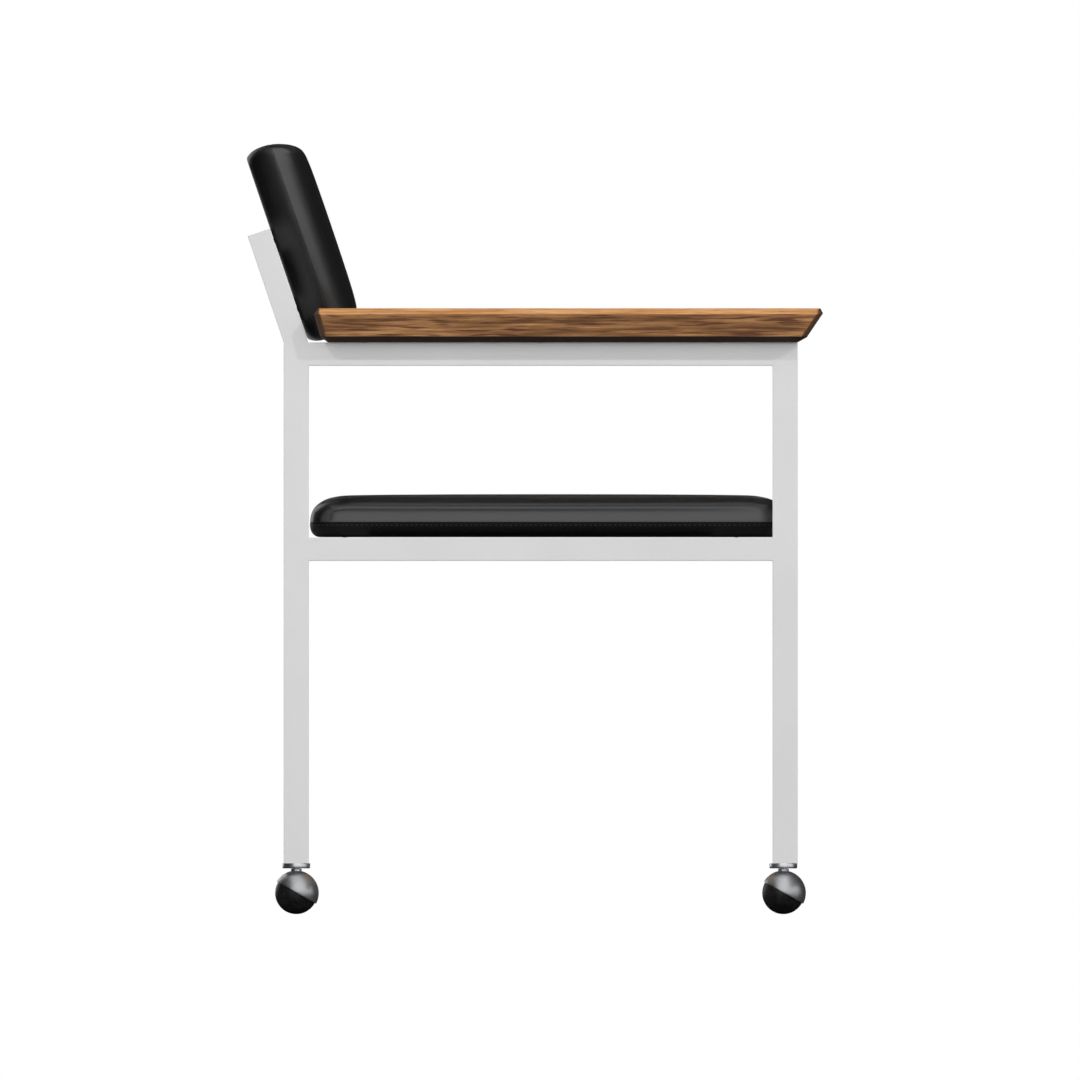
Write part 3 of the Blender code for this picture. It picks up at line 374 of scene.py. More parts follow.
@dataclass(frozen=True)
class OiledWood(Patterned):
    """Solid timber, planed, sanded and oiled: long brown streaks and end grain that drank more oil and
    stays dark, with a painted highlight on its top and painted shade on its underside."""

    name: str = "oiled_teak"
    stops: Stops = (
        (0.32, "#5A391A"),
        (0.43, "#774F29"),
        (0.52, "#875B32"),
        (0.62, "#9A6C40"),
        (0.72, "#AF8050"),
    )
    # Lighter streak colours for the top: a painted highlight.
    painted_highlight_stops: Stops = ((0.34, "#AE7845"), (0.52, "#C48D59"), (0.70, "#D2A06C"))
    vessels: str = "#5B3417"
    end_grain: str = "#4A3220"
    # Near-black brown for the underside and bottom chamfer: painted shade.
    underside: str = "#24160A"
    roughness: tuple[float, float] = (0.56, 0.46)
    shine: float = 0.35
    depth: float = mm(0.05)
    pore_shade: float = 0.74
    # Streaks, vessel strokes and pores to the metre, along X, Y and Z.
    streak: Triple = (15.0, 310.0, 310.0)
    stroke: Triple = (26.0, 420.0, 420.0)
    pore: Triple = (70.0, 1500.0, 1500.0)
    streak_detail: float = 4.0
    fine_detail: float = 1.0
    sway_length: float = mm(90)
    sway: float = mm(3.5)
    # Where the strokes, the pores and the ends begin and are full.
    stroke_span: tuple[float, float] = (0.54, 0.66)
    pore_span: tuple[float, float] = (0.36, 0.44)
    end_span: tuple[float, float] = (0.12, 0.32)
    # Heights in the chair at which the painted highlight on the top begins and the painted shade on the
    # underside ends.
    highlight_height: float = 0.6037
    shade_height: float = 0.5812
    edge_fade: float = mm(1.0)

    def dress(self, nodes: Nodes) -> None:
        """Adds streaks and pores along X, a painted highlight on the top, dark end grain and painted
        shade on the underside.

        Args:
            nodes: The material's nodes.
        """
        here = nodes.add("TexCoord", "Object")
        sways = {"Vector": here, "Scale": 1 / self.sway_length, "Detail": self.fine_detail}
        sway = nodes.add("TexNoise", "Color", sways)
        reach = (0.0, self.sway, self.sway)
        swayed = nodes.add("VectorMath", "Vector", {0: sway, 1: reach, 2: here}, operation="MULTIPLY_ADD")
        streaks, strokes, pores = (
            nodes.add(
                "TexNoise",
                "Fac",
                {
                    "Vector": nodes.add("Mapping", "Vector", {"Vector": swayed, "Scale": scale}),
                    "Scale": 1.0,
                    "Detail": detail,
                },
            )
            for scale, detail in (
                (self.streak, self.streak_detail),
                (self.stroke, self.fine_detail),
                (self.pore, self.fine_detail),
            )
        )
        height = nodes.add("SeparateXYZ", "Z", {"Vector": here})
        facing = nodes.add("SeparateXYZ", "X", {"Vector": here.node.outputs["Normal"]})
        across = nodes.add("Math", "Value", {0: facing}, operation="ABSOLUTE")
        half = self.edge_fade / 2
        # Masks for the strokes, the pores, the painted highlight on the top, the painted shade on the
        # underside and the end grain.
        strokes, pores, highlight_share, shade_share, ends = (
            nodes.add("MapRange", "Result", {"Value": value, "From Min": start, "From Max": stop})
            for value, (start, stop) in (
                (strokes, self.stroke_span),
                (pores, self.pore_span),
                (height, (self.highlight_height - half, self.highlight_height + half)),
                (height, (self.shade_height + half, self.shade_height - half)),
                (across, self.end_span),
            )
        )
        side, top = (
            nodes.add("ValToRGB", "Color", {"Fac": streaks}, stops)
            for stops in (self.stops, self.painted_highlight_stops)
        )
        # Over the streaks go the vessel strokes, the painted highlight on the top, the dark end grain and
        # the painted shade on the underside.
        for share, over in (
            (strokes, linear(self.vessels)),
            (highlight_share, top),
            (ends, linear(self.end_grain)),
            (shade_share, linear(self.underside)),
        ):
            parts = {"Factor": share, "A": side, "B": over}
            side = nodes.add("Mix", "Result", parts, data_type="RGBA")
        shade = nodes.add("MapRange", "Result", {"Value": pores, "To Min": self.pore_shade})
        pored = nodes.add("VectorMath", "Vector", {0: side, "Scale": shade}, operation="SCALE")
        nodes.surface({"Base Color": pored, "Roughness": self.gloss(nodes, streaks)})
        nodes.surface({"Specular IOR Level": self.shine})
        self.emboss(nodes, pores)


@dataclass(frozen=True)
class Plywood(Patterned):
    """Birch plywood, peeled and pressed: pale veneer with a long soft figure."""

    name: str = "birch_plywood"
    stops: Stops = ((0.3, "#A9804F"), (0.5, "#C7A272"), (0.7, "#D8B98C"))
    roughness: tuple[float, float] = (0.65, 0.65)
    stretch: Triple = (7.0, 70.0, 500.0)
    mottle_detail: float = 4.0
    grain_detail: float = 4.0
    depth: float = mm(0.05)


@dataclass(frozen=True)
class BrightChrome(Patterned):
    """Turned steel, buffed and chromium plated: a cool mirror, hazy from handling."""

    name: str = "chromium_plate"
    stops: Stops = ((0.0, "#F0F1F3"),)
    roughness: tuple[float, float] = (0.32, 0.38)
    metallic: float = 1.0
    mottle: float = mm(14)
    mottle_detail: float = 4.0


@dataclass(frozen=True)
class SatinChrome(BrightChrome):
    """Pressed steel, brushed before it is plated: the same plate, greyer and duller."""

    name: str = "satin_chromium_plate"
    stops: Stops = ((0.0, "#CDCED1"),)
    roughness: tuple[float, float] = (0.4, 0.46)


@dataclass(frozen=True)
class MouldedTread(Patterned):
    """Hard black wheel plastic, moulded and scuffed by floors: dull black with a low sheen."""

    name: str = "moulded_wheel_plastic"
    stops: Stops = ((0.35, "#0F0F10"), (0.75, "#1C1C1B"))
    roughness: tuple[float, float] = (0.34, 0.5)
    mottle: float = mm(5)
    mottle_detail: float = 5.0
    grain: float = mm(0.5)
    depth: float = mm(0.015)


@dataclass(frozen=True)
class MouldedNylon(Patterned):
    """Black nylon, injection moulded against an etched tool: an even dull black."""

    name: str = "moulded_nylon"
    stops: Stops = ((0.3, "#161616"), (0.7, "#222222"))
    roughness: tuple[float, float] = (0.6, 0.6)
    mottle: float = mm(0.6)
    grain: float = mm(0.6)
    depth: float = mm(0.02)


@dataclass(frozen=True)
class ZincSteel(Patterned):
    """Cold-headed steel, zinc plated: a soft bluish grey metal with a fine spangle."""

    name: str = "zinc_plated_steel"
    stops: Stops = ((0.0, "#B4B7BC"),)
    roughness: tuple[float, float] = (0.26, 0.42)
    metallic: float = 1.0
    mottle: float = mm(0.8)
    grain: float = mm(0.8)
    depth: float = mm(0.006)


@dataclass(frozen=True)
class BondedThread(Patterned):
    """Twisted and bonded polyester thread: black, its plies drawn coarse enough to show."""

    name: str = "bonded_black_thread"
    stops: Stops = ((0.3, "#1B1B1C"), (0.7, "#323234"))
    roughness: tuple[float, float] = (0.55, 0.55)
    mottle: float = mm(0.25)
    grain: float = mm(0.25)
    depth: float = mm(0.03)


@dataclass(frozen=True)
class CardPaint(Finish):
    """Black paint on a studio card: matt and even."""

    name: str = "matt_black_card"
    colour: str = "#141414"
    roughness: float = 1.0

    def dress(self, nodes: Nodes) -> None:
        """Sets the even black."""
        nodes.surface({"Base Color": linear(self.colour), "Roughness": self.roughness})


@dataclass(frozen=True)
class FloorPaint(Finish):
    """Pale floor paint: matt, and throwing back less light than it seems to."""

    name: str = "pale_floor"
    seen: str = "#E6E6E5"
    glow: str = "#B4B4B4"
    roughness: float = 0.8

    def dress(self, nodes: Nodes) -> None:
        """Sets the colour that is seen and the one that lights the chair.

        Args:
            nodes: The material's nodes.
        """
        parts = {"Factor": nodes.seen(), "A": linear(self.glow), "B": linear(self.seen)}
        colour = nodes.add("Mix", "Result", parts, data_type="RGBA")
        nodes.surface({"Base Color": colour, "Roughness": self.roughness})


def object_of(name: str, bm: BMesh) -> bpy.types.Object:
    """Makes an object at the origin from a bmesh.

    Args:
        name: The object's name.
        bm: Its shape, in place, which is freed.

    Returns:
        The object.
    """
    mesh = bpy.data.meshes.new(name)
    bm.to_mesh(mesh)
    bm.free()
    made = bpy.data.objects.new(name, mesh)
    bpy.context.scene.collection.objects.link(made)
    return made


def show(
    name: str,
    bm: BMesh,
    finish: Finish,
    stands_for: Iterable[str] = (),
    body: str = CHAIR,
    sharp: float = 30.0,
) -> bpy.types.Object:
    """Makes a piece and hands it to the frame.

    Args:
        name: The piece's name.
        bm: Its shape, in place, which is freed.
        finish: Its finish.
        stands_for: The CAD nodes that it replaces.
        body: The body that it rides on.
        sharp: The angle in degrees past which an edge stays sharp.

    Returns:
        The piece's object.
    """
    made = object_of(name, bm)
    made.data.shade_smooth()
    made.data.set_sharp_from_angle(angle=math.radians(sharp))
    made.data.materials.append(finish.material())
    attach(made, body)
    if stands_for:
        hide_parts(*stands_for)
    log.info("%s: %d faces on %s", name, len(made.data.polygons), body)
    return made


def dress_node(node: str, finish: Finish) -> None:
    """Gives a CAD node that stays in sight its finish.

    Args:
        node: The node.
        finish: Its finish.
    """
    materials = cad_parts[node].data.materials
    materials.clear()
    materials.append(finish.material())


def ease_edges(piece: bpy.types.Object, width: float, steps: int = 2, degrees: float = 25) -> None:
    """Rounds a piece's sharp edges a little, as tools and use do.

    Args:
        piece: The piece.
        width: How far the rounding reaches.
        steps: How many faces it has.
        degrees: The angle past which an edge is rounded.
    """
    modifier = piece.modifiers.new("eased_edges", "BEVEL")
    modifier.width = width
    modifier.segments = steps
    modifier.limit_method = "ANGLE"
    modifier.angle_limit = math.radians(degrees)
    modifier.harden_normals = True


def cut_back(
    bm: BMesh, geometry: list, offset: float, steps: int, what: Bevel = Bevel.EDGES
) -> None:
    """Chamfers or rounds some edges, or the corners of a flat outline.

    Args:
        bm: The shape.
        geometry: The edges, or the vertices at the corners.
        offset: How far they are cut back.
        steps: How many faces or edges replace each, 1 for a chamfer.
        what: Whether edges or corners are cut.
    """
    bmesh.ops.bevel(
        bm, geom=geometry, affect=what.value, offset=offset, offset_type="OFFSET", segments=steps,
        profile=0.5, material=-1,
    )


def box_between(low: Vector, high: Vector) -> BMesh:
    """Makes a sharp box.

    Args:
        low: Its low corner.
        high: Its high corner.

    Returns:
        The box.
    """
    bm = bmesh.new()
    bmesh.ops.create_cube(bm, size=1)
    bmesh.ops.scale(bm, vec=high - low, verts=bm.verts)
    bmesh.ops.translate(bm, vec=(low + high) / 2, verts=bm.verts)
    return bm


def bar_between(low: Vector, high: Vector, corner: float, steps: int, axis: Axis) -> BMesh:
    """Makes a bar whose edges along one axis are rounded.

    Args:
        low: Its low corner.
        high: Its high corner.
        corner: The radius of the rounded edges.
        steps: How many faces each rounded edge has.
        axis: The axis that the rounded edges lie along.

    Returns:
        The bar.
    """
    bm = box_between((low - high) / 2, (high - low) / 2)
    along = [e for e in bm.edges if abs((e.verts[0].co - e.verts[1].co)[axis]) > MERGE]
    cut_back(bm, along, corner, steps)
    bmesh.ops.translate(bm, vec=(low + high) / 2, verts=bm.verts)
    return bm


def trim(bm: BMesh, point: Vector, normal: Vector) -> None:
    """Cuts off what lies past a plane and closes the cut.

    Args:
        bm: The shape.
        point: A point of the plane.
        normal: The plane's normal, which points to the side that goes.
    """
    everything = bm.verts[:] + bm.edges[:] + bm.faces[:]
    made = bmesh.ops.bisect_plane(
        bm, geom=everything, plane_co=point, plane_no=normal, clear_outer=True
    )
    rim = [item for item in made["geom_cut"] if isinstance(item, bmesh.types.BMEdge)]
    bmesh.ops.contextual_create(bm, geom=rim)
    bmesh.ops.recalc_face_normals(bm, faces=bm.faces)


def round_bar(
    centre: Vector, radius: float, length: float, steps: int, turn: Matrix | None = None
) -> BMesh:
    """Makes a round bar.

    Args:
        centre: Its middle.
        radius: Its radius.
        length: Its length.
        steps: How many faces it has around.
        turn: How it is turned from upright.

    Returns:
        The bar.
    """
    bm = bmesh.new()
    bmesh.ops.create_cone(
        bm, cap_ends=True, segments=steps, radius1=radius, radius2=radius, depth=length
    )
    bm.transform(Matrix.Translation(centre) @ (turn or Matrix.Identity(4)))
    return bm


def combine(base: BMesh, others: Sequence[tuple[Cut, BMesh]]) -> BMesh:
    """Joins solids to a first one, or takes them out of it, and frees them all.

    Args:
        base: The first solid.
        others: What to do with each of the others, in order.

    Returns:
        The result.
    """
    scratch = []
    for bm in (base, *(other for _, other in others)):
        bmesh.ops.recalc_face_normals(bm, faces=bm.faces)
        scratch.append(object_of("scratch", bm))
    target = scratch[0]
    for (cut, _), thing in zip(others, scratch[1:]):
        modifier = target.modifiers.new(cut.value, "BOOLEAN")
        modifier.operation = cut.value
        modifier.solver = "EXACT"
        modifier.object = thing
    evaluated = target.evaluated_get(bpy.context.evaluated_depsgraph_get())
    result = bmesh.new()
    result.from_mesh(evaluated.to_mesh())
    evaluated.to_mesh_clear()
    for thing in scratch:
        bpy.data.meshes.remove(thing.data)
    return result


def lathe(
    profile: Sequence[tuple[float, float]], steps: int, place: Matrix | None = None
) -> BMesh:
    """Spins a profile of (radius, height) points about local Z.

    Args:
        profile: The points, from one end to the other. If they start off the axis, the
            profile is closed.
        steps: How many faces the turned shape has around.
        place: Where the shape goes.

    Returns:
        The turned shape.
    """
    bm = bmesh.new()
    verts = [bm.verts.new((radius, 0, height)) for radius, height in profile]
    edges = [bm.edges.new(pair) for pair in zip(verts, verts[1:])]
    if profile[0][0] > 0:
        edges.append(bm.edges.new((verts[-1], verts[0])))
    bmesh.ops.spin(
        bm, geom=verts + edges, cent=(0, 0, 0), axis=(0, 0, 1), angle=2 * math.pi, steps=steps,
        use_merge=True,
    )
    bmesh.ops.remove_doubles(bm, verts=bm.verts, dist=MERGE)
    bmesh.ops.recalc_face_normals(bm, faces=bm.faces)
    bm.transform(place or Matrix.Identity(4))
    return bm


def arc(
    centre: tuple[float, float], radius: float, start: float, end: float, steps: int
) -> list[tuple[float, float]]:
    """Makes points of an arc.

    Args:
        centre: The arc's middle, as (radius, height).
        radius: The arc's own radius.
        start: Its first angle, in degrees from the outward direction.
        end: Its last angle.
        steps: How many lines it has.

    Returns:
        The points, as (radius, height).
    """
    angles = [math.radians(start + (end - start) * step / steps) for step in range(steps + 1)]
    return [(centre[0] + radius * math.cos(a), centre[1] + radius * math.sin(a)) for a in angles]


@dataclass(frozen=True)
class Card:
    """A matt black card beside the chair, which only its shiny surfaces see."""

    name: str
    low: Triple
    high: Triple
    finish: CardPaint = CardPaint()

    def build(self) -> None:
        """Stands the card in its box, out of the camera's and the soft light's way."""
        card = object_of(self.name, box_between(Vector(self.low), Vector(self.high)))
        card.data.materials.append(self.finish.material())
        card.visible_camera = False
        card.visible_diffuse = False
        card.visible_transmission = False
        card.visible_shadow = False


@dataclass(frozen=True)
class Studio:
    """The camera, square on to the chair's right side, and its plain light and floor.

    A key's direction is the way that its light goes.
    """

    picture_width: float = 1.0864
    middle_x: float = mm(5.5)
    middle_z: float = mm(376.4)
    distance: float = 3.0
    floor_size: float = 12.0
    floor: FloorPaint = FloorPaint()
    ring: float = 1.76
    overhead: float = 0.2
    key_spread: float = math.radians(1.6)
    keys: tuple[tuple[str, Triple, float], ...] = (
        ("key_front", (-1.63, 1.0, -1.38), 0.83),
        ("key_rear", (0.87, 1.0, -1.38), 0.68),
    )
    cards: tuple[Card, ...] = (
        Card("card_rear", (-1.02, -2.2, 0.0), (-1.0, 0.45, 2.2)),
        Card("card_front", (0.9, -0.3, 0.0), (0.92, 2.0, 0.4)),
        Card("card_front_high", (0.95, -1.2, 0.4), (0.97, 2.0, 1.14)),
        Card("card_front_top", (0.95, -0.7, 1.14), (0.97, 2.0, 2.0)),
        Card("card_low", (-1.6, -0.9, 0.001), (1.6, 0.4, 0.002)),
        Card("card_band", (-0.45, -0.52, 0.58), (0.2, -0.5, 0.71)),
        Card("card_behind", (-0.8, 1.5, 0.0), (1.6, 1.52, 2.1)),
        Card("card_overhead", (-1.6, 0.2, 2.2), (1.6, 1.5, 2.22)),
    )

    def build(self) -> None:
        """Makes the camera, the lamps, the world, the floor and the cards."""
        self.add_camera()
        self.add_lamps()
        self.add_world()
        self.add_floor()
        for card in self.cards:
            card.build()
        bpy.context.scene.view_settings.view_transform = "Standard"

    def add_camera(self) -> None:
        """Adds a camera without perspective, at the photograph's framing."""
        data = bpy.data.cameras.new("camera")
        data.type = "ORTHO"
        data.ortho_scale = self.picture_width
        camera = bpy.data.objects.new("camera", data)
        camera.location = (self.middle_x, -self.distance, self.middle_z)
        camera.rotation_euler = (math.pi / 2, 0, 0)
        bpy.context.scene.collection.objects.link(camera)
        bpy.context.scene.camera = camera

    def add_lamps(self) -> None:
        """Adds two soft suns, from above the camera to its right and left."""
        for name, direction, strength in self.keys:
            data = bpy.data.lights.new(name, "SUN")
            data.energy = strength
            data.angle = self.key_spread
            lamp = bpy.data.objects.new(name, data)
            lamp.rotation_euler = Vector(direction).to_track_quat("-Z", "Y").to_euler()
            lamp.visible_glossy = False
            bpy.context.scene.collection.objects.link(lamp)

    def add_world(self) -> None:
        """Adds a ring of soft light, dimmer overhead, that is seen as plain white."""
        world = bpy.data.worlds.new("studio")
        bpy.context.scene.world = world
        world.use_nodes = True
        tree = world.node_tree
        tree.nodes.remove(tree.nodes["Background"])
        nodes = Nodes(tree)
        way = nodes.add("TexCoord", "Generated")
        rise = nodes.add("SeparateXYZ", "Z", {"Vector": way})
        span = {"Value": rise, "To Min": self.ring, "To Max": self.overhead}
        glow = nodes.add("MapRange", "Result", span)
        soft = nodes.add("Background", "Background", {"Color": WHITE, "Strength": glow})
        white = nodes.add("Background", "Background", {"Color": WHITE, "Strength": 1.0})
        mixed = nodes.add("MixShader", "Shader", {"Fac": nodes.seen(), 1: soft, 2: white})
        nodes.fill(tree.nodes["World Output"], {"Surface": mixed})

    def add_floor(self) -> None:
        """Adds a pale matt floor that keeps the chair's shadow."""
        bm = bmesh.new()
        bmesh.ops.create_grid(bm, x_segments=1, y_segments=1, size=self.floor_size / 2)
        floor = object_of("floor", bm)
        floor.data.materials.append(self.floor.material())


@dataclass(frozen=True)
class BackPlace:
    """Where the tilted back stands: its foot on the rear leg and how far it leans."""

    tilt: float = math.radians(18.7)
    post_length: float = mm(113)

    def matrix(self) -> Matrix:
        """Finds the back's place.

        Returns:
            The matrix whose local X runs forward from the posts' rear face, Y to the left and
            Z up the post.
        """
        leg_low, leg_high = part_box("rear_leg_left")
        foot = Vector((leg_low.x, 0, leg_high.z))
        return Matrix.Translation(foot) @ Matrix.Rotation(-self.tilt, 4, "Y")


@dataclass(frozen=True)
class SteelFrame:
    """The welded frame: square tubes, ground flush at their joints, under one coat of paint."""

    finish: PowderCoat = PowderCoat()
    back: BackPlace = BackPlace()
    wall: float = mm(1.6)
    corner: float = mm(1.1)
    inner_corner: float = mm(0.5)
    corner_steps: int = 4
    tube_width: float = mm(25.4)
    rail_depth: float = mm(23.5)
    foot_overlap: float = mm(1)
    pocket_depth: float = mm(60)
    access_radius: float = mm(6)
    screw_radius: float = mm(2.6)
    hole_steps: int = 32
    arm_screw_shares: tuple[float, ...] = (0.12, 0.5, 0.88)
    back_screw_spread: float = mm(280)
    lower_rail_rise: float = mm(27)
    tab_clip: float = mm(30)
    tab_ease: float = mm(0.5)

    def build(self) -> None:
        """Makes both side frames, the cross rails, the back rails and the seat's tabs."""
        for side in Side:
            self.side_frame(side)
        for end in End:
            self.cross_rail(end)
        for name, rise in self.back_rail_rises().items():
            self.back_rail(name, rise)
        for word, end, side in CORNERS:
            self.seat_tab(word, end, side)
        for word, end, side in CORNERS:
            self.weld_beads(word, end, side)

    def arm_screw_xs(self) -> list[float]:
        """Spaces the armrest screws along the arm rail.

        Returns:
            The X of each screw.
        """
        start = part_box("rear_leg_left")[1].x
        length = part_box("front_leg_left")[0].x - start
        return [start + share * length for share in self.arm_screw_shares]

    def back_rail_rises(self) -> dict[str, float]:
        """Returns how far up the posts the middle of each back rail lies."""
        upper = self.back.post_length - self.tube_width / 2
        return {"lower": self.lower_rail_rise, "upper": upper}

    def tube(self, low: Vector, high: Vector, axis: Axis) -> BMesh:
        """Returns the outside of a tube that fills a box and runs along an axis."""
        return bar_between(low, high, self.corner, self.corner_steps, axis)

    def bore(self, low: Vector, high: Vector, axis: Axis) -> BMesh:
        """Returns the inside of a tube that fills a box and runs along an axis."""
        return bar_between(low, high, self.inner_corner, self.corner_steps, axis)

    def hole(self, centre: Vector, radius: float, turn: Matrix | None = None) -> BMesh:
        """Returns a bar for a hole through one of a tube's walls."""
        return round_bar(centre, radius, 4 * self.wall, self.hole_steps, turn)

    def paint(self, name: str, bm: BMesh, stands_for: Sequence[str]) -> None:
        """Shows a painted tube, with its flat faces kept flat beside its rounded edges.

        Args:
            name: The piece's name.
            bm: Its shape, in place, which is freed.
            stands_for: The CAD nodes that it replaces.
        """
        piece = show(name, bm, self.finish, stands_for)
        piece.modifiers.new("even_shading", "WEIGHTED_NORMAL").keep_sharp = True

    def side_frame(self, side: Side) -> None:
        """Makes one side: two legs, arm rail, seat rail and back post as a ground weldment.

        Args:
            side: The side.
        """
        front_low, front_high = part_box(f"front_leg_{side.word}")
        rear_low, rear_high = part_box(f"rear_leg_{side.word}")
        arm_low, arm_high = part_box(f"arm_rail_{side.word}")
        seat_low, seat_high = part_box(f"seat_rail_{side.word}")
        low_y, high_y = front_low.y, front_high.y
        lap = self.corner
        inner_corner = Vector((front_low.x, 0, arm_low.z))
        outer_corner = Vector((front_high.x, 0, arm_high.z))
        mitre = outer_corner - inner_corner
        up_and_back = Vector((-mitre.z, 0, mitre.x))

        rear_leg = self.tube(Vector((rear_low.x, low_y, rear_low.z)), rear_high, Axis.Z)
        arm_end = Vector((front_high.x, high_y, arm_high.z))
        front_leg = self.tube(Vector((front_low.x, low_y, front_low.z)), arm_end, Axis.Z)
        trim(front_leg, outer_corner, up_and_back)
        arm_rail = self.tube(Vector((rear_high.x - lap, low_y, arm_low.z)), arm_end, Axis.X)
        trim(arm_rail, outer_corner, -up_and_back)
        seat_rail = self.tube(
            Vector((rear_high.x - lap, low_y, seat_low.z)),
            Vector((front_low.x + lap, high_y, seat_high.z)),
            Axis.X,
        )
        post = self.tube(
            Vector((0, low_y, -self.rail_depth)),
            Vector((self.rail_depth, high_y, self.back.post_length)),
            Axis.Z,
        )
        post.transform(self.back.matrix())
        trim(post, Vector((0, 0, rear_high.z - self.foot_overlap)), Vector((0, 0, -1)))

        steps = [(Cut.JOIN, bm) for bm in (front_leg, arm_rail, seat_rail, post)]
        wall = Vector((self.wall, self.wall, 0))
        for low, high in ((front_low, front_high), (rear_low, rear_high)):
            bottom = Vector((low.x, low_y, low.z - self.wall)) + wall
            top = Vector((high.x, high_y, low.z + self.pocket_depth)) - wall
            steps.append((Cut.TAKE, self.bore(bottom, top, Axis.Z)))
        wall = Vector((0, self.wall, self.wall))
        hollow = self.bore(
            Vector((rear_high.x, low_y, arm_low.z)) + wall,
            Vector((front_low.x, high_y, arm_high.z)) - wall,
            Axis.X,
        )
        steps.append((Cut.TAKE, hollow))
        for x in self.arm_screw_xs():
            for z, radius in ((arm_low.z, self.access_radius), (arm_high.z, self.screw_radius)):
                hole = self.hole(Vector((x, (low_y + high_y) / 2, z)), radius)
                steps.append((Cut.TAKE, hole))
        parts = ("front_leg", "rear_leg", "arm_rail", "seat_rail", "back_post", "post_cap")
        stands_for = [f"{part}_{side.word}" for part in parts]
        self.paint(f"side_frame_{side.word}", combine(rear_leg, steps), stands_for)

    def cross_rail(self, end: End) -> None:
        """Makes a rail between the side frames, run into the legs' rounded edges.

        Args:
            end: The chair's end that the rail is at.
        """
        low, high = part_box(f"{end.word}_cross_rail")
        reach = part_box("front_leg_left")[0].y + self.corner
        bm = self.tube(Vector((low.x, -reach, low.z)), Vector((high.x, reach, high.z)), Axis.Y)
        self.paint(f"{end.word}_cross_tube", bm, [f"{end.word}_cross_rail"])

    def back_rail(self, name: str, rise: float) -> None:
        """Makes a hollow rail between the posts, with its screw holes and access holes.

        Args:
            name: The rail's word in the names of pieces.
            rise: How far up the posts its middle lies.
        """
        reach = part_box("front_leg_left")[0].y + self.corner
        half, wall = self.tube_width / 2, self.wall
        bm = self.tube(
            Vector((0, -reach, rise - half)), Vector((self.rail_depth, reach, rise + half)), Axis.Y
        )
        hollow = self.bore(
            Vector((wall, -reach + 2 * wall, rise - half + wall)),
            Vector((self.rail_depth - wall, reach - 2 * wall, rise + half - wall)),
            Axis.Y,
        )
        steps = [(Cut.TAKE, hollow)]
        forward = Matrix.Rotation(math.pi / 2, 4, "Y")
        for side in Side:
            y = side.value * self.back_screw_spread / 2
            for x, radius in ((0, self.access_radius), (self.rail_depth, self.screw_radius)):
                steps.append((Cut.TAKE, self.hole(Vector((x, y, rise)), radius, forward)))
        made = combine(bm, steps)
        made.transform(self.back.matrix())
        self.paint(f"{name}_back_tube", made, [f"{name}_back_rail"])

    def seat_tab(self, word: str, end: End, side: Side) -> None:
        """Makes a plate in a corner of the seat's frame, with its inner corner clipped.

        Args:
            word: The corner's word in the names of pieces.
            end: The corner's end of the chair.
            side: Its side.
        """
        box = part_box(f"seat_tab_{word}")
        inner = box[end.inner].x, box[side.inner].y
        bm = box_between(*box)
        clipped = [
            edge
            for edge in bm.edges
            if all((v.co.xy - Vector(inner)).length < MERGE for v in edge.verts)
        ]
        cut_back(bm, clipped, self.tab_clip, 1)
        piece = show(f"seat_bracket_{word}", bm, self.finish, [f"seat_tab_{word}"])
        ease_edges(piece, self.tab_ease)

    def weld_beads(self, word: str, end: End, side: Side) -> None:
        """Welds a tab to the frame from below, where nobody grinds the bead.

        Args:
            word: The corner's word in the names of pieces.
            end: The corner's end of the chair.
            side: Its side.
        """
        rail_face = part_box(f"{end.word}_cross_rail")[end.inner].x
        side_face = side.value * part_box("seat_rail_left")[0].y
        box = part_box(f"seat_tab_{word}")
        under = box[0].z
        start = Vector((rail_face, side_face, under))
        for run, stop in (
            ("across", Vector((rail_face, box[side.inner].y, under))),
            ("along", Vector((box[end.inner].x, side_face, under))),
        ):
            WeldBead(f"bracket_weld_{word}_{run}", start, stop).build()


@dataclass
class WeldBead:
    """A rippled bead of weld along a corner, half sunk in it."""

    name: str
    start: Vector
    stop: Vector
    radius: float = mm(1.9)
    ripple: float = mm(1.7)
    ripple_share: float = 0.16
    end_share: float = 0.6
    end_gap: float = mm(6)
    steps: int = 14
    sharp: float = 60.0
    finish: PowderCoat = PowderCoat()

    def build(self) -> None:
        """Turns the bead's rippled outline and lays it along the corner."""
        way = (self.stop - self.start).normalized()
        start = self.start + way * self.end_gap
        length = (self.stop - self.start).length - 2 * self.end_gap
        count = max(2, round(length / self.ripple))
        end = self.radius * self.end_share
        profile = [(0.0, -end)]
        for index in range(2 * count + 1):
            share = 1 - self.ripple_share * (index % 2)
            profile.append((self.radius * share, length * index / (2 * count)))
        profile.append((0.0, length + end))
        turn = way.to_track_quat("Z", "Y").to_matrix().to_4x4()
        bm = lathe(profile, self.steps, Matrix.Translation(start) @ turn)
        show(self.name, bm, self.finish, sharp=self.sharp)


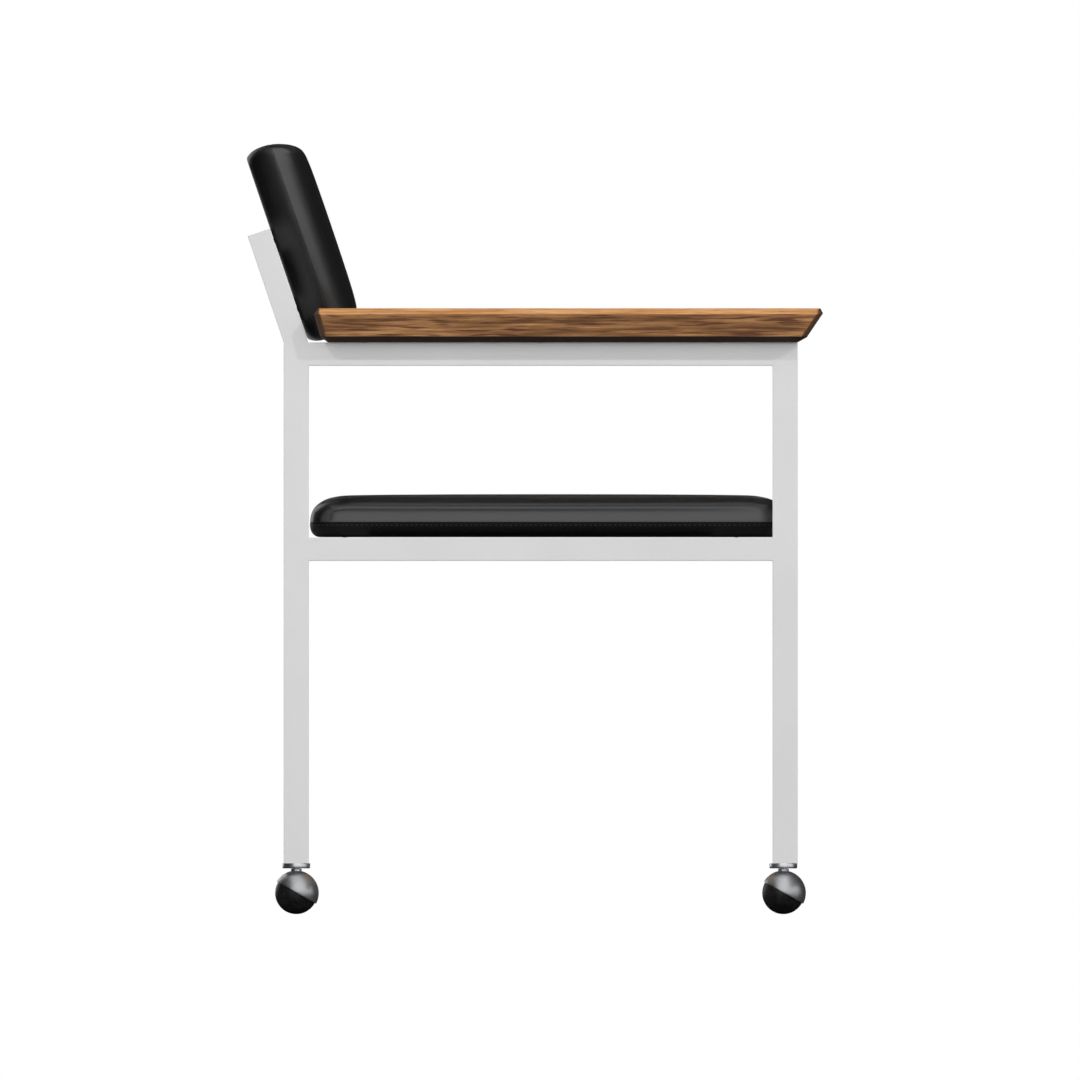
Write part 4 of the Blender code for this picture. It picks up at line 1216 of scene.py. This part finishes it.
@dataclass
class Cushion:
    """An upholstered pad, built lying flat: a firm crowned block whose cover is blown out by a
    cloth simulation and drawn in at its seam.

    Each level is an outline of the block, in millimetres: its height, and how far it draws in
    at the ends and at the sides.
    """

    name: str
    node: str
    length: float
    width: float
    corner: float
    levels: tuple[Triple, ...]
    seam_rise: float
    place: Matrix
    fill: float
    recess: BMesh | None = None
    tuck: float = 0.0
    corner_steps: int = 10
    voxel: float = mm(5)
    relax_share: float = 0.5
    relax_passes: int = 3
    slack: float = mm(1.5)
    swell: float = mm(0.7)
    pressure: float = 4.0
    growth: float = 0.02
    frames: int = 20
    even_passes: int = 10
    seam_width: float = mm(0.8)
    seam_depth: float = mm(0.25)
    seam_sharpness: float = 0.7
    seam_cuts: tuple[float, ...] = (-3.0, -1.0, 0.0, 1.0, 3.0)
    stitch_drop: float = mm(3.2)
    stitch_pitch: float = mm(5.0)
    stitch_size: Triple = (mm(0.7), mm(0.6), mm(3.4))
    stitch_faces: tuple[int, int] = (6, 4)
    sharp: float = 70.0
    finish: CoatedFabric = CoatedFabric()
    # The border cloth's near-black colour is painted shade.
    border: BorderFabric = BorderFabric()
    thread: BondedThread = BondedThread()

    def build(self) -> None:
        """Makes the pad with its stitches and sets them on the chair."""
        pad = self.remeshed(self.block())
        self.blow_out(pad)
        mesh = self.refined(pad)
        bm = bmesh.new()
        bm.from_mesh(mesh)
        bpy.data.meshes.remove(mesh)
        self.sew(bm)
        self.stitch(bm)
        if self.recess is not None:
            bm = combine(bm, [(Cut.TAKE, self.recess)])
        bm.transform(self.place)
        piece = show(self.name, bm, self.finish, [self.node], sharp=self.sharp)
        self.cover(piece.data)

    def cover(self, mesh: bpy.types.Mesh) -> None:
        """Creases the pad at its seam and gives what lies past it the border's cloth, whose near-black
        colour is painted shade.

        Args:
            mesh: The pad's mesh, in place.
        """
        mesh.materials.append(self.border.material())
        lying = self.place.inverted()
        for face in mesh.polygons:
            face.material_index = int((lying @ face.center).z < self.seam_rise)
        for edge in mesh.edges:
            edge.use_edge_sharp = edge.use_edge_sharp or edge.use_seam

    def block(self) -> BMesh:
        """Makes the pad's plain form: one outline carried up through the levels.

        Returns:
            The block.
        """
        levels = [tuple(mm(size) for size in level) for level in self.levels]
        _, end_inset, side_inset = levels[0]
        length, width, height = self.length - 2 * end_inset, self.width - 2 * side_inset, 0.0
        bm = bmesh.new()
        bmesh.ops.create_grid(bm, x_segments=1, y_segments=1, size=0.5)
        bmesh.ops.scale(bm, vec=(length, width, 1), verts=bm.verts)
        cut_back(bm, bm.verts[:], self.corner, self.corner_steps, Bevel.CORNERS)
        bmesh.ops.reverse_faces(bm, faces=bm.faces[:])
        cap = bm.faces[:][0]
        for rise, end_inset, side_inset in levels[1:]:
            grown = bmesh.ops.extrude_face_region(bm, geom=[cap])["geom"]
            passed, cap = cap, next(g for g in grown if isinstance(g, bmesh.types.BMFace))
            new_length = self.length - 2 * end_inset
            new_width = self.width - 2 * side_inset
            scale = (new_length / length, new_width / width, 1)
            bmesh.ops.scale(bm, vec=scale, verts=cap.verts)
            bmesh.ops.translate(bm, vec=(0, 0, rise - height), verts=cap.verts)
            length, width, height = new_length, new_width, rise
            if passed.is_valid and passed.calc_center_median().z > MERGE:
                bmesh.ops.delete(bm, geom=[passed], context="FACES_ONLY")
        bmesh.ops.recalc_face_normals(bm, faces=bm.faces)
        return bm

    def remeshed(self, bm: BMesh) -> bpy.types.Object:
        """Gives the block small even faces.

        Args:
            bm: The block, which is freed.

        Returns:
            The pad's object.
        """
        pad = object_of(f"{self.name}_block", bm)
        remesh = pad.modifiers.new("even_faces", "REMESH")
        remesh.mode = "VOXEL"
        remesh.voxel_size = self.voxel
        relax = pad.modifiers.new("relax", "SMOOTH")
        relax.factor = self.relax_share
        relax.iterations = self.relax_passes
        self.apply(pad)
        return pad

    def apply(self, thing: bpy.types.Object) -> None:
        """Turns an object's modifiers into its mesh.

        Args:
            thing: The object.
        """
        evaluated = thing.evaluated_get(bpy.context.evaluated_depsgraph_get())
        mesh = bpy.data.meshes.new_from_object(evaluated)
        old = thing.data
        thing.modifiers.clear()
        thing.data = mesh
        bpy.data.meshes.remove(old)

    def blow_out(self, pad: bpy.types.Object) -> None:
        """Blows the cover out from a slightly smaller pad, held at its seam and underside.

        Args:
            pad: The pad's object.
        """
        mesh = pad.data
        rest = [vertex.co.copy() for vertex in mesh.vertices]
        normals = [vertex.normal.copy() for vertex in mesh.vertices]
        held = []
        for index, (point, normal) in enumerate(zip(rest, normals)):
            if point.z < self.voxel or abs(point.z - self.seam_rise) < self.voxel / 2:
                held.append(index)
            else:
                mesh.vertices[index].co = point - self.slack * normal
        group = pad.vertex_groups.new(name="held")
        group.add(held, 1.0, "REPLACE")
        cloth = pad.modifiers.new("cover", "CLOTH")
        settings = cloth.settings
        settings.vertex_group_mass = "held"
        settings.use_pressure = True
        settings.uniform_pressure_force = self.pressure
        settings.effector_weights.gravity = 0.0
        settings.shrink_min = -self.growth
        cloth.collision_settings.use_collision = False
        cloth.point_cache.frame_start = 1
        cloth.point_cache.frame_end = self.frames
        for number in range(1, self.frames + 1):
            bpy.context.scene.frame_set(number)
        self.apply(pad)
        moves = [vertex.co - point for vertex, point in zip(pad.data.vertices, rest)]
        for move in moves:
            if move.length > self.swell:
                move *= self.swell / move.length
        for vertex, point, move in zip(pad.data.vertices, rest, self.evened(pad.data, moves)):
            vertex.co = point + move
        bpy.context.scene.frame_set(1)

    def evened(self, mesh: bpy.types.Mesh, moves: list[Vector]) -> list[Vector]:
        """Evens out how far a mesh's points move, as the foam under the cover does.

        Args:
            mesh: The mesh, for which points are neighbours.
            moves: How far each point moves.

        Returns:
            The moves, each drawn towards its neighbours' mean a few times.
        """
        near = [[] for _ in moves]
        for edge in mesh.edges:
            first, second = edge.vertices
            near[first].append(second)
            near[second].append(first)
        for _ in range(self.even_passes):
            moves = [
                (move + sum((moves[other] for other in others), Vector())) / (1 + len(others))
                for move, others in zip(moves, near)
            ]
        return moves

    def refined(self, pad: bpy.types.Object) -> bpy.types.Mesh:
        """Subdivides the pad once and removes its object.

        Args:
            pad: The pad's object.

        Returns:
            Its mesh.
        """
        finer = pad.modifiers.new("finer", "SUBSURF")
        finer.levels = 1
        finer.render_levels = 1
        self.apply(pad)
        mesh = pad.data
        bpy.data.objects.remove(pad)
        return mesh

    def sew(self, bm: BMesh) -> None:
        """Draws the cover in along its seam, and tucks its sides under from there.

        Args:
            bm: The pad, lying flat.
        """
        for cut in self.seam_cuts:
            height = self.seam_rise + cut * self.seam_width
            geometry = bm.verts[:] + bm.edges[:] + bm.faces[:]
            bmesh.ops.bisect_plane(bm, geom=geometry, plane_co=(0, 0, height), plane_no=(0, 0, 1))
        bm.normal_update()
        for edge in bm.edges:
            edge.seam = all(abs(v.co.z - self.seam_rise) < MERGE for v in edge.verts)
        for vertex in bm.verts:
            away = abs(vertex.co.z - self.seam_rise) / self.seam_width
            if away < self.seam_cuts[-1]:
                outward = Vector((vertex.normal.x, vertex.normal.y, 0))
                pull = math.exp(-((away / self.seam_sharpness) ** 2))
                vertex.co -= outward * self.seam_depth * pull
            under = max(0.0, self.seam_rise - vertex.co.z)
            vertex.co.y *= 1 - self.tuck * under / (self.width / 2)

    def stitch(self, bm: BMesh) -> None:
        """Lays a row of stitches round the sewn pad, just under its seam.

        Args:
            bm: The pad, lying flat.
        """
        outline = bm.copy()
        bmesh.ops.bisect_plane(
            outline,
            geom=outline.verts[:] + outline.edges[:] + outline.faces[:],
            plane_co=(0, 0, self.seam_rise - self.stitch_drop),
            plane_no=(0, 0, 1),
            clear_inner=True,
            clear_outer=True,
        )
        row = bmesh.new()
        vertex = outline.verts[:][0]
        edge = vertex.link_edges[0]
        walked, due = 0.0, self.stitch_pitch / 2
        for _ in range(len(outline.edges)):
            other = edge.other_vert(vertex)
            run = other.co - vertex.co
            while due < walked + run.length:
                spot = vertex.co + run * ((due - walked) / run.length)
                self.lay_stitch(row, spot, run.normalized())
                due += self.stitch_pitch
            walked += run.length
            vertex = other
            edge = next(e for e in vertex.link_edges if e != edge)
        outline.free()
        row.transform(self.place)
        show(f"{self.name}_stitches", row, self.thread, sharp=ALL_SMOOTH)

    def lay_stitch(self, row: BMesh, spot: Vector, run: Vector) -> None:
        """Adds one stitch, a short swollen thread that lies along the outline.

        Args:
            row: The row of stitches.
            spot: The stitch's middle.
            run: The way that the outline runs there.
        """
        outward = Vector((run.y, -run.x, 0))
        if outward.dot(spot) < 0:
            outward.negate()
        axes = Matrix((run.cross(outward), outward, run)).transposed().to_4x4()
        place = Matrix.Translation(spot) @ axes @ Matrix.Diagonal((*self.stitch_size, 1))
        around, along = self.stitch_faces
        bmesh.ops.create_uvsphere(
            row, u_segments=around, v_segments=along, radius=0.5, matrix=place
        )


@dataclass(frozen=True)
class Seat:
    """The seat: a cushion on the board, in the frame's seat ring."""

    width: float = mm(500)
    corner: float = mm(28)
    seam_rise: float = mm(15.4)
    tuck: float = 0.42
    fill: float = 0.85
    voxel: float = mm(5.5)
    board_gap: float = mm(0.3)
    recess_corner: float = mm(18.3)
    recess_steps: int = 6
    recess_overrun: float = mm(3)
    levels: tuple[Triple, ...] = (
        (0.0, 6.1, 8.0),
        (0.9, 1.5, 3.6),
        (5.1, 0.5, 0.6),
        (15.4, 0.0, 0.0),
        (21.3, 0.7, 0.2),
        (27.5, 2.3, 1.0),
        (33.4, 7.1, 4.1),
        (37.9, 14.8, 11.6),
        (40.3, 23.8, 22.4),
        (41.5, 34.0, 34.0),
        (42.1, 80.0, 80.0),
        (42.5, 150.0, 150.0),
        (42.6, 220.0, 220.0),
    )

    def build(self) -> None:
        """Makes the seat cushion over its board."""
        low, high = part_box("seat_cushion")
        board_low, board_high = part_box("seat_board")
        middle = Vector(((low.x + high.x) / 2, 0, low.z))
        gap = self.board_gap
        recess = bar_between(
            board_low - Vector((gap, gap, self.recess_overrun)) - middle,
            board_high + Vector((gap, gap, gap)) - middle,
            self.recess_corner,
            self.recess_steps,
            Axis.Z,
        )
        Cushion(
            name="seat_pad",
            node="seat_cushion",
            length=high.x - low.x,
            width=self.width,
            corner=self.corner,
            levels=self.levels,
            seam_rise=self.seam_rise,
            place=Matrix.Translation(middle),
            fill=self.fill,
            recess=recess,
            tuck=self.tuck,
            voxel=self.voxel,
        ).build()


@dataclass(frozen=True)
class Back:
    """The back: a thicker cushion against the back rails."""

    width: float = mm(465)
    height: float = mm(205.3)
    drop: float = mm(11.1)
    corner: float = mm(16)
    seam_rise: float = mm(27.5)
    rail_depth: float = mm(23.5)
    rail_gap: float = mm(0.3)
    fill: float = 0.8
    voxel: float = mm(4)
    place: BackPlace = BackPlace()
    levels: tuple[Triple, ...] = (
        (0.0, 6.2, 14.0),
        (5.9, 2.2, 7.5),
        (12.3, 0.4, 3.6),
        (19.7, 0.0, 1.2),
        (27.5, 0.7, 0.0),
        (35.2, 2.6, 2.2),
        (42.6, 5.2, 6.0),
        (48.7, 8.6, 11.5),
        (53.7, 12.4, 18.0),
        (56.5, 16.4, 25.0),
        (57.8, 22.1, 36.0),
        (58.3, 45.0, 80.0),
        (58.6, 70.0, 140.0),
        (58.7, 92.0, 200.0),
    )

    def build(self) -> None:
        """Makes the back cushion against the rails."""
        middle_rise = self.height / 2 - self.drop
        # The pad is built lying flat, with its length up the post and its top forward.
        stand = Matrix(((0, 0, 1, 0), (0, -1, 0, 0), (1, 0, 0, 0), (0, 0, 0, 1)))
        forward = Matrix.Translation((self.rail_depth + self.rail_gap, 0, middle_rise))
        Cushion(
            name="back_pad",
            node="back_cushion",
            length=self.height,
            width=self.width,
            corner=self.corner,
            levels=self.levels,
            seam_rise=self.seam_rise,
            place=self.place.matrix() @ forward @ stand,
            fill=self.fill,
            voxel=self.voxel,
            border=BackBorderFabric(),
        ).build()


@dataclass(frozen=True)
class Armrest:
    """A solid wood armrest: undercut ends, chamfered all round, with its arrises eased."""

    side: Side
    chamfer: float = mm(6)
    corner: float = mm(7)
    corner_steps: int = 4
    front_reach_top: float = mm(28.8)
    front_reach_bottom: float = mm(5.7)
    rear_setback_top: float = mm(3.6)
    rear_setback_bottom: float = mm(13.0)
    lap: float = mm(0.25)
    arris: float = mm(0.7)
    arris_steps: int = 3
    finish: OiledWood = OiledWood()

    def build(self) -> None:
        """Shapes the armrest from a block and eases its arrises."""
        word = self.side.word
        low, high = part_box(f"armrest_{word}")
        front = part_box(f"front_leg_{word}")[1].x
        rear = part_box(f"rear_leg_{word}")[1].x
        ends = {
            (True, True): front + self.front_reach_top,
            (True, False): front + self.front_reach_bottom,
            (False, True): rear + self.rear_setback_top,
            (False, False): rear + self.rear_setback_bottom,
        }
        low.z -= self.lap
        bm = box_between(low, high)
        middle = (low + high) / 2
        for vertex in bm.verts:
            vertex.co.x = ends[vertex.co.x > middle.x, vertex.co.z > middle.z]
        half_height = (high.z - low.z) / 2
        upright = [e for e in bm.edges if abs(e.verts[0].co.z - e.verts[1].co.z) > half_height]
        cut_back(bm, upright, self.corner, self.corner_steps)
        level = [e for e in bm.edges if abs(e.verts[0].co.z - e.verts[1].co.z) < half_height]
        cut_back(bm, level, self.chamfer, 1)
        piece = show(f"wood_arm_{word}", bm, self.finish, [f"armrest_{word}"])
        ease_edges(piece, self.arris, self.arris_steps)


@dataclass
class BallCaster:
    """One caster: a plated hood over a half-ball wheel on an inclined axle, swivelling on a
    plated stem in the leg's socket.

    Heights of the hood and the wheel lie along the axle, from the ball's middle.
    """

    corner: str
    tilt: float = math.radians(29.5)
    steps: int = 64
    hood_steps: int = 28
    hollow_steps: int = 10
    tread_steps: int = 20
    groove_steps: int = 2
    rim_steps: int = 7
    ease_steps: int = 3
    flange_steps: int = 8
    axle_bore: float = mm(2.8)
    hood_radius: float = mm(22.7)
    hood_wall: float = mm(1.2)
    hood_bore_end: float = mm(11)
    rim_gap: float = mm(0.6)
    rim_ease: float = mm(0.35)
    rim_ease_share: float = 0.3
    ceiling: float = mm(12.5)
    boss_radius: float = mm(6.5)
    boss_low: float = mm(0.8)
    boss_ease: float = mm(0.2)
    flat_drop: float = mm(0.7)
    flat_radius: float = mm(7)
    flat_overrun: float = mm(3)
    wheel_radius: float = mm(21.3)
    wheel_bore_end: float = mm(-15.8)
    groove_degrees: float = 66.0
    groove_half_degrees: float = 1.0
    groove_depth: float = mm(0.35)
    lip: float = mm(0.5)
    lip_degrees: float = 0.6
    lip_width: float = mm(2.8)
    lip_ease: float = mm(0.3)
    draft: float = mm(1.2)
    web_height: float = mm(-9)
    web_round: float = mm(0.4)
    hub_radius: float = mm(7)
    stem_radius: float = mm(3.9)
    stem_steps: int = 40
    tip_ease: float = mm(0.6)
    neck_radius: float = mm(5.5)
    neck_height: float = mm(2.4)
    neck_ease: float = mm(0.3)
    ring_low: float = mm(54.05)
    ring_high: float = mm(55.65)
    ring_gap: float = mm(0.3)
    ring_seat_radius: float = mm(2.9)
    flange_radius: float = mm(14.05)
    flange_round: float = mm(1.5)
    sleeve_radius: float = mm(6)
    sleeve_bore: float = mm(4.3)
    socket_ease: float = mm(0.4)
    plug_gap: float = mm(0.05)
    chrome: BrightChrome = BrightChrome()
    satin: SatinChrome = SatinChrome()
    tread: MouldedTread = MouldedTread()
    zinc: ZincSteel = ZincSteel()
    nylon: MouldedNylon = MouldedNylon()
    centre: Vector = field(init=False)
    upright: Matrix = field(init=False)
    inclined: Matrix = field(init=False)

    def __post_init__(self) -> None:
        """Places the ball under the stem's node."""
        low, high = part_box(f"stem_{self.corner}")
        self.centre = Vector(((low.x + high.x) / 2, (low.y + high.y) / 2, self.wheel_radius))
        self.upright = Matrix.Translation(self.centre)
        self.inclined = self.upright @ Matrix.Rotation(self.tilt, 4, "Y")

    def build(self) -> None:
        """Makes the caster's pieces on their three bodies."""
        self.hood()
        self.wheel()
        self.stem()
        self.socket()
        for node, finish in (
            ("leg_plug", self.nylon),
            ("grip_ring", self.zinc),
            ("axle", self.zinc),
        ):
            dress_node(f"{node}_{self.corner}", finish)

    def ball(self, radius: float, start: float, end: float, steps: int) -> list:
        """Returns (radius, height) points on a ball, by degrees from its lower pole."""
        points = arc((0.0, 0.0), radius, start - 90, end - 90, steps)
        return [(max(0.0, distance), height) for distance, height in points]

    def heights(self, node: str) -> tuple[float, float]:
        """Returns a CAD node's lower and upper end, from the ball's middle."""
        low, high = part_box(f"{node}_{self.corner}")
        return low.z - self.centre.z, high.z - self.centre.z

    def hood(self) -> None:
        """Makes the hood: half a ball with a rolled rim, and a boss for the axle."""
        radius, rim = self.hood_radius, self.rim_gap / 2
        inner = radius - self.hood_wall
        ease = self.rim_ease
        inset = self.rim_ease_share * ease
        start = 90 + math.degrees(math.asin(rim / radius)) + math.degrees(ease / radius)
        stop = 90 + math.degrees(math.asin(self.ceiling / inner))
        boss, bore = self.boss_radius, self.axle_bore
        profile = [
            (0.0, radius),
            *self.ball(radius, 180, start, self.hood_steps)[1:],
            (radius - inset, rim + inset),
            (radius - ease, rim),
            (inner + ease, rim),
            (inner + inset, rim + inset),
            *self.ball(inner, start, stop, self.hollow_steps),
            (boss, self.ceiling),
            (boss, self.boss_low + self.boss_ease),
            (boss - self.boss_ease, self.boss_low),
            (bore, self.boss_low),
            (bore, self.hood_bore_end),
            (0.0, self.hood_bore_end),
        ]
        bm = lathe(profile, self.steps, self.inclined)
        seat = radius - self.flat_drop
        top = seat + self.flat_overrun
        outline = ((0.0, seat), (self.flat_radius, seat), (self.flat_radius, top), (0.0, top))
        bm = combine(bm, [(Cut.TAKE, lathe(outline, self.steps, self.upright))])
        name, body = f"plated_hood_{self.corner}", f"caster_swivel_{self.corner}"
        show(name, bm, self.satin, [f"hood_{self.corner}"], body)

    def wheel(self) -> None:
        """Makes the wheel: half a ball with a fine groove, a hollow face and a hub."""
        radius, lip = self.wheel_radius, self.lip
        groove, half = self.groove_degrees, self.groove_half_degrees
        rim = 90 + math.degrees(math.asin(lip / radius)) - self.lip_degrees
        inside = radius - self.lip_width
        hub, bore, ease = self.hub_radius, self.axle_bore, self.lip_ease
        deep = radius - self.groove_depth
        profile = [
            (0.0, -radius),
            *self.ball(radius, 0, groove - half, self.tread_steps)[1:],
            *self.ball(deep, groove - half / 2, groove + half / 2, self.groove_steps),
            *self.ball(radius, groove + half, rim, self.rim_steps),
            (radius - ease, lip),
            (inside, lip),
            (inside - ease, lip - ease),
            (inside - self.draft, self.web_height),
            (hub + self.web_round, self.web_height),
            (hub, self.web_height + self.web_round),
            (hub, lip - ease),
            (hub - ease, lip),
            (bore, lip),
            (bore, self.wheel_bore_end),
            (0.0, self.wheel_bore_end),
        ]
        bm = lathe(profile, self.steps, self.inclined)
        name, body = f"ball_wheel_{self.corner}", f"caster_wheel_{self.corner}"
        show(name, bm, self.tread, [f"wheel_{self.corner}"], body)

    def stem(self) -> None:
        """Makes the swivel stem with its neck, which carries the load on the hood."""
        foot, top = self.heights("stem")
        neck_low = self.hood_radius - self.flat_drop
        neck_high = neck_low + self.neck_height
        radius, neck, ease = self.stem_radius, self.neck_radius, self.neck_ease
        above, below = self.ring_high + self.ring_gap, self.ring_low - self.ring_gap
        profile = (
            (0.0, top),
            (radius - self.tip_ease, top),
            (radius, top - self.tip_ease),
            (radius, above),
            (self.ring_seat_radius, above),
            (self.ring_seat_radius, below),
            (radius, below),
            (radius, neck_high),
            (neck - ease, neck_high),
            (neck, neck_high - ease),
            (neck, neck_low + ease),
            (neck - ease, neck_low),
            (radius, neck_low),
            (radius, foot),
            (0.0, foot),
        )
        bm = lathe(profile, self.stem_steps, self.upright)
        name, body = f"plated_stem_{self.corner}", f"caster_swivel_{self.corner}"
        show(name, bm, self.chrome, [f"stem_{self.corner}"], body)

    def socket(self) -> None:
        """Makes the flange under the leg and its sleeve, which the stem turns in."""
        bottom, top = self.heights("socket")
        flange_top = self.heights("leg_plug")[0] - self.plug_gap
        radius, soft, ease = self.flange_radius, self.flange_round, self.socket_ease
        profile = [
            (self.sleeve_radius, top),
            (self.sleeve_radius, flange_top),
            *arc((radius - ease, flange_top - ease), ease, 90, 0, self.ease_steps),
            *arc((radius - soft, bottom + soft), soft, 0, -90, self.flange_steps),
            (self.sleeve_bore + ease, bottom),
            (self.sleeve_bore, bottom + ease),
            (self.sleeve_bore, top),
        ]
        bm = lathe(profile, self.steps, self.upright)
        name = f"plated_socket_{self.corner}"
        show(name, bm, self.chrome, [f"socket_{self.corner}"])


@dataclass
class PanScrew:
    """A round-headed wood screw with a crossed recess."""

    name: str
    place: Matrix
    length: float
    stands_for: tuple[str, ...] = ()
    steps: int = 24
    shank: float = mm(2.2)
    root_share: float = 0.78
    tip_share: float = 0.3
    tip_length: float = mm(1)
    thread_stop: float = mm(3)
    plain_length: float = mm(2)
    pitch: float = mm(1.8)
    head: float = mm(4.6)
    head_height: float = mm(2.7)
    head_steps: int = 8
    head_fullness: float = 0.6
    recess_arm: float = mm(2.5)
    recess_width: float = mm(1.0)
    recess_depth: float = mm(1.5)
    recess_corner: float = mm(0.25)
    recess_steps: int = 2
    sharp: float = 50.0
    finish: ZincSteel = ZincSteel()

    def build(self) -> None:
        """Turns the screw and cuts its recess. Its head bears at local zero, facing down."""
        profile = [(0.0, self.length), (self.shank * self.tip_share, self.length - self.tip_length)]
        height = self.length - self.thread_stop
        while height > self.thread_stop:
            profile.append((self.shank, height))
            profile.append((self.shank * self.root_share, height - self.pitch / 2))
            height -= self.pitch
        profile += [(self.shank, self.plain_length), (self.shank, 0.0), (self.head, 0.0)]
        for step in range(1, self.head_steps):
            angle = math.pi / 2 * step / self.head_steps
            reach = self.head * math.cos(angle) ** self.head_fullness
            profile.append((reach, -self.head_height * math.sin(angle)))
        profile.append((0.0, -self.head_height))
        top = Vector((0, 0, -self.head_height))
        cuts = []
        for x, y in (
            (self.recess_arm, self.recess_width / 2),
            (self.recess_width / 2, self.recess_arm),
        ):
            half = Vector((x, y, self.recess_depth))
            arm = bar_between(
                top - half, top + half, self.recess_corner, self.recess_steps, Axis.Z
            )
            cuts.append((Cut.TAKE, arm))
        bm = combine(lathe(profile, self.steps), cuts)
        bm.transform(self.place)
        show(self.name, bm, self.finish, self.stands_for, sharp=self.sharp)


@dataclass(frozen=True)
class Fasteners:
    """The screws that hold the armrests, the back and the seat board."""

    steel: SteelFrame
    head_gap: float = mm(0.1)
    arm_length: float = mm(18)
    back_length: float = mm(13)
    head_height: float = mm(2.7)

    def build(self) -> None:
        """Puts a screw in every hole that the frame has for one."""
        self.arm_screws()
        self.back_screws()
        self.seat_screws()

    def arm_screws(self) -> None:
        """Puts screws up through the arm rails into the armrests."""
        for side in Side:
            low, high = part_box(f"arm_rail_{side.word}")
            y = (low.y + high.y) / 2
            head_z = high.z - self.steel.wall - self.head_gap
            for index, x in enumerate(self.steel.arm_screw_xs(), start=1):
                place = Matrix.Translation((x, y, head_z))
                PanScrew(f"arm_screw_{side.word}_{index}", place, self.arm_length).build()

    def back_screws(self) -> None:
        """Puts screws forward through the back rails into the back's board."""
        forward = Matrix.Rotation(math.pi / 2, 4, "Y")
        head_x = self.steel.rail_depth - self.steel.wall - self.head_gap
        for name, rise in self.steel.back_rail_rises().items():
            for side in Side:
                y = side.value * self.steel.back_screw_spread / 2
                spot = Matrix.Translation((head_x, y, rise))
                place = self.steel.back.matrix() @ spot @ forward
                PanScrew(f"back_screw_{name}_{side.word}", place, self.back_length).build()

    def seat_screws(self) -> None:
        """Puts screws up through the tabs into the seat board."""
        for word, _, _ in CORNERS:
            low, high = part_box(f"seat_screw_{word}")
            head_z = low.z + self.head_height
            place = Matrix.Translation(((low.x + high.x) / 2, (low.y + high.y) / 2, head_z))
            stands_for = (f"seat_screw_{word}",)
            PanScrew(f"board_screw_{word}", place, high.z - head_z, stands_for).build()


def main() -> None:
    """Builds the studio and every sub-assembly in order."""
    logging.basicConfig(level=logging.INFO, format="%(message)s")
    Studio().build()
    steel = SteelFrame()
    steel.build()
    Seat().build()
    Back().build()
    for side in Side:
        Armrest(side).build()
    for word, _, _ in CORNERS:
        BallCaster(word).build()
    Fasteners(steel).build()
    for node in ("seat_board", "back_board"):
        dress_node(node, Plywood())


if __name__ == "__main__":
    main()
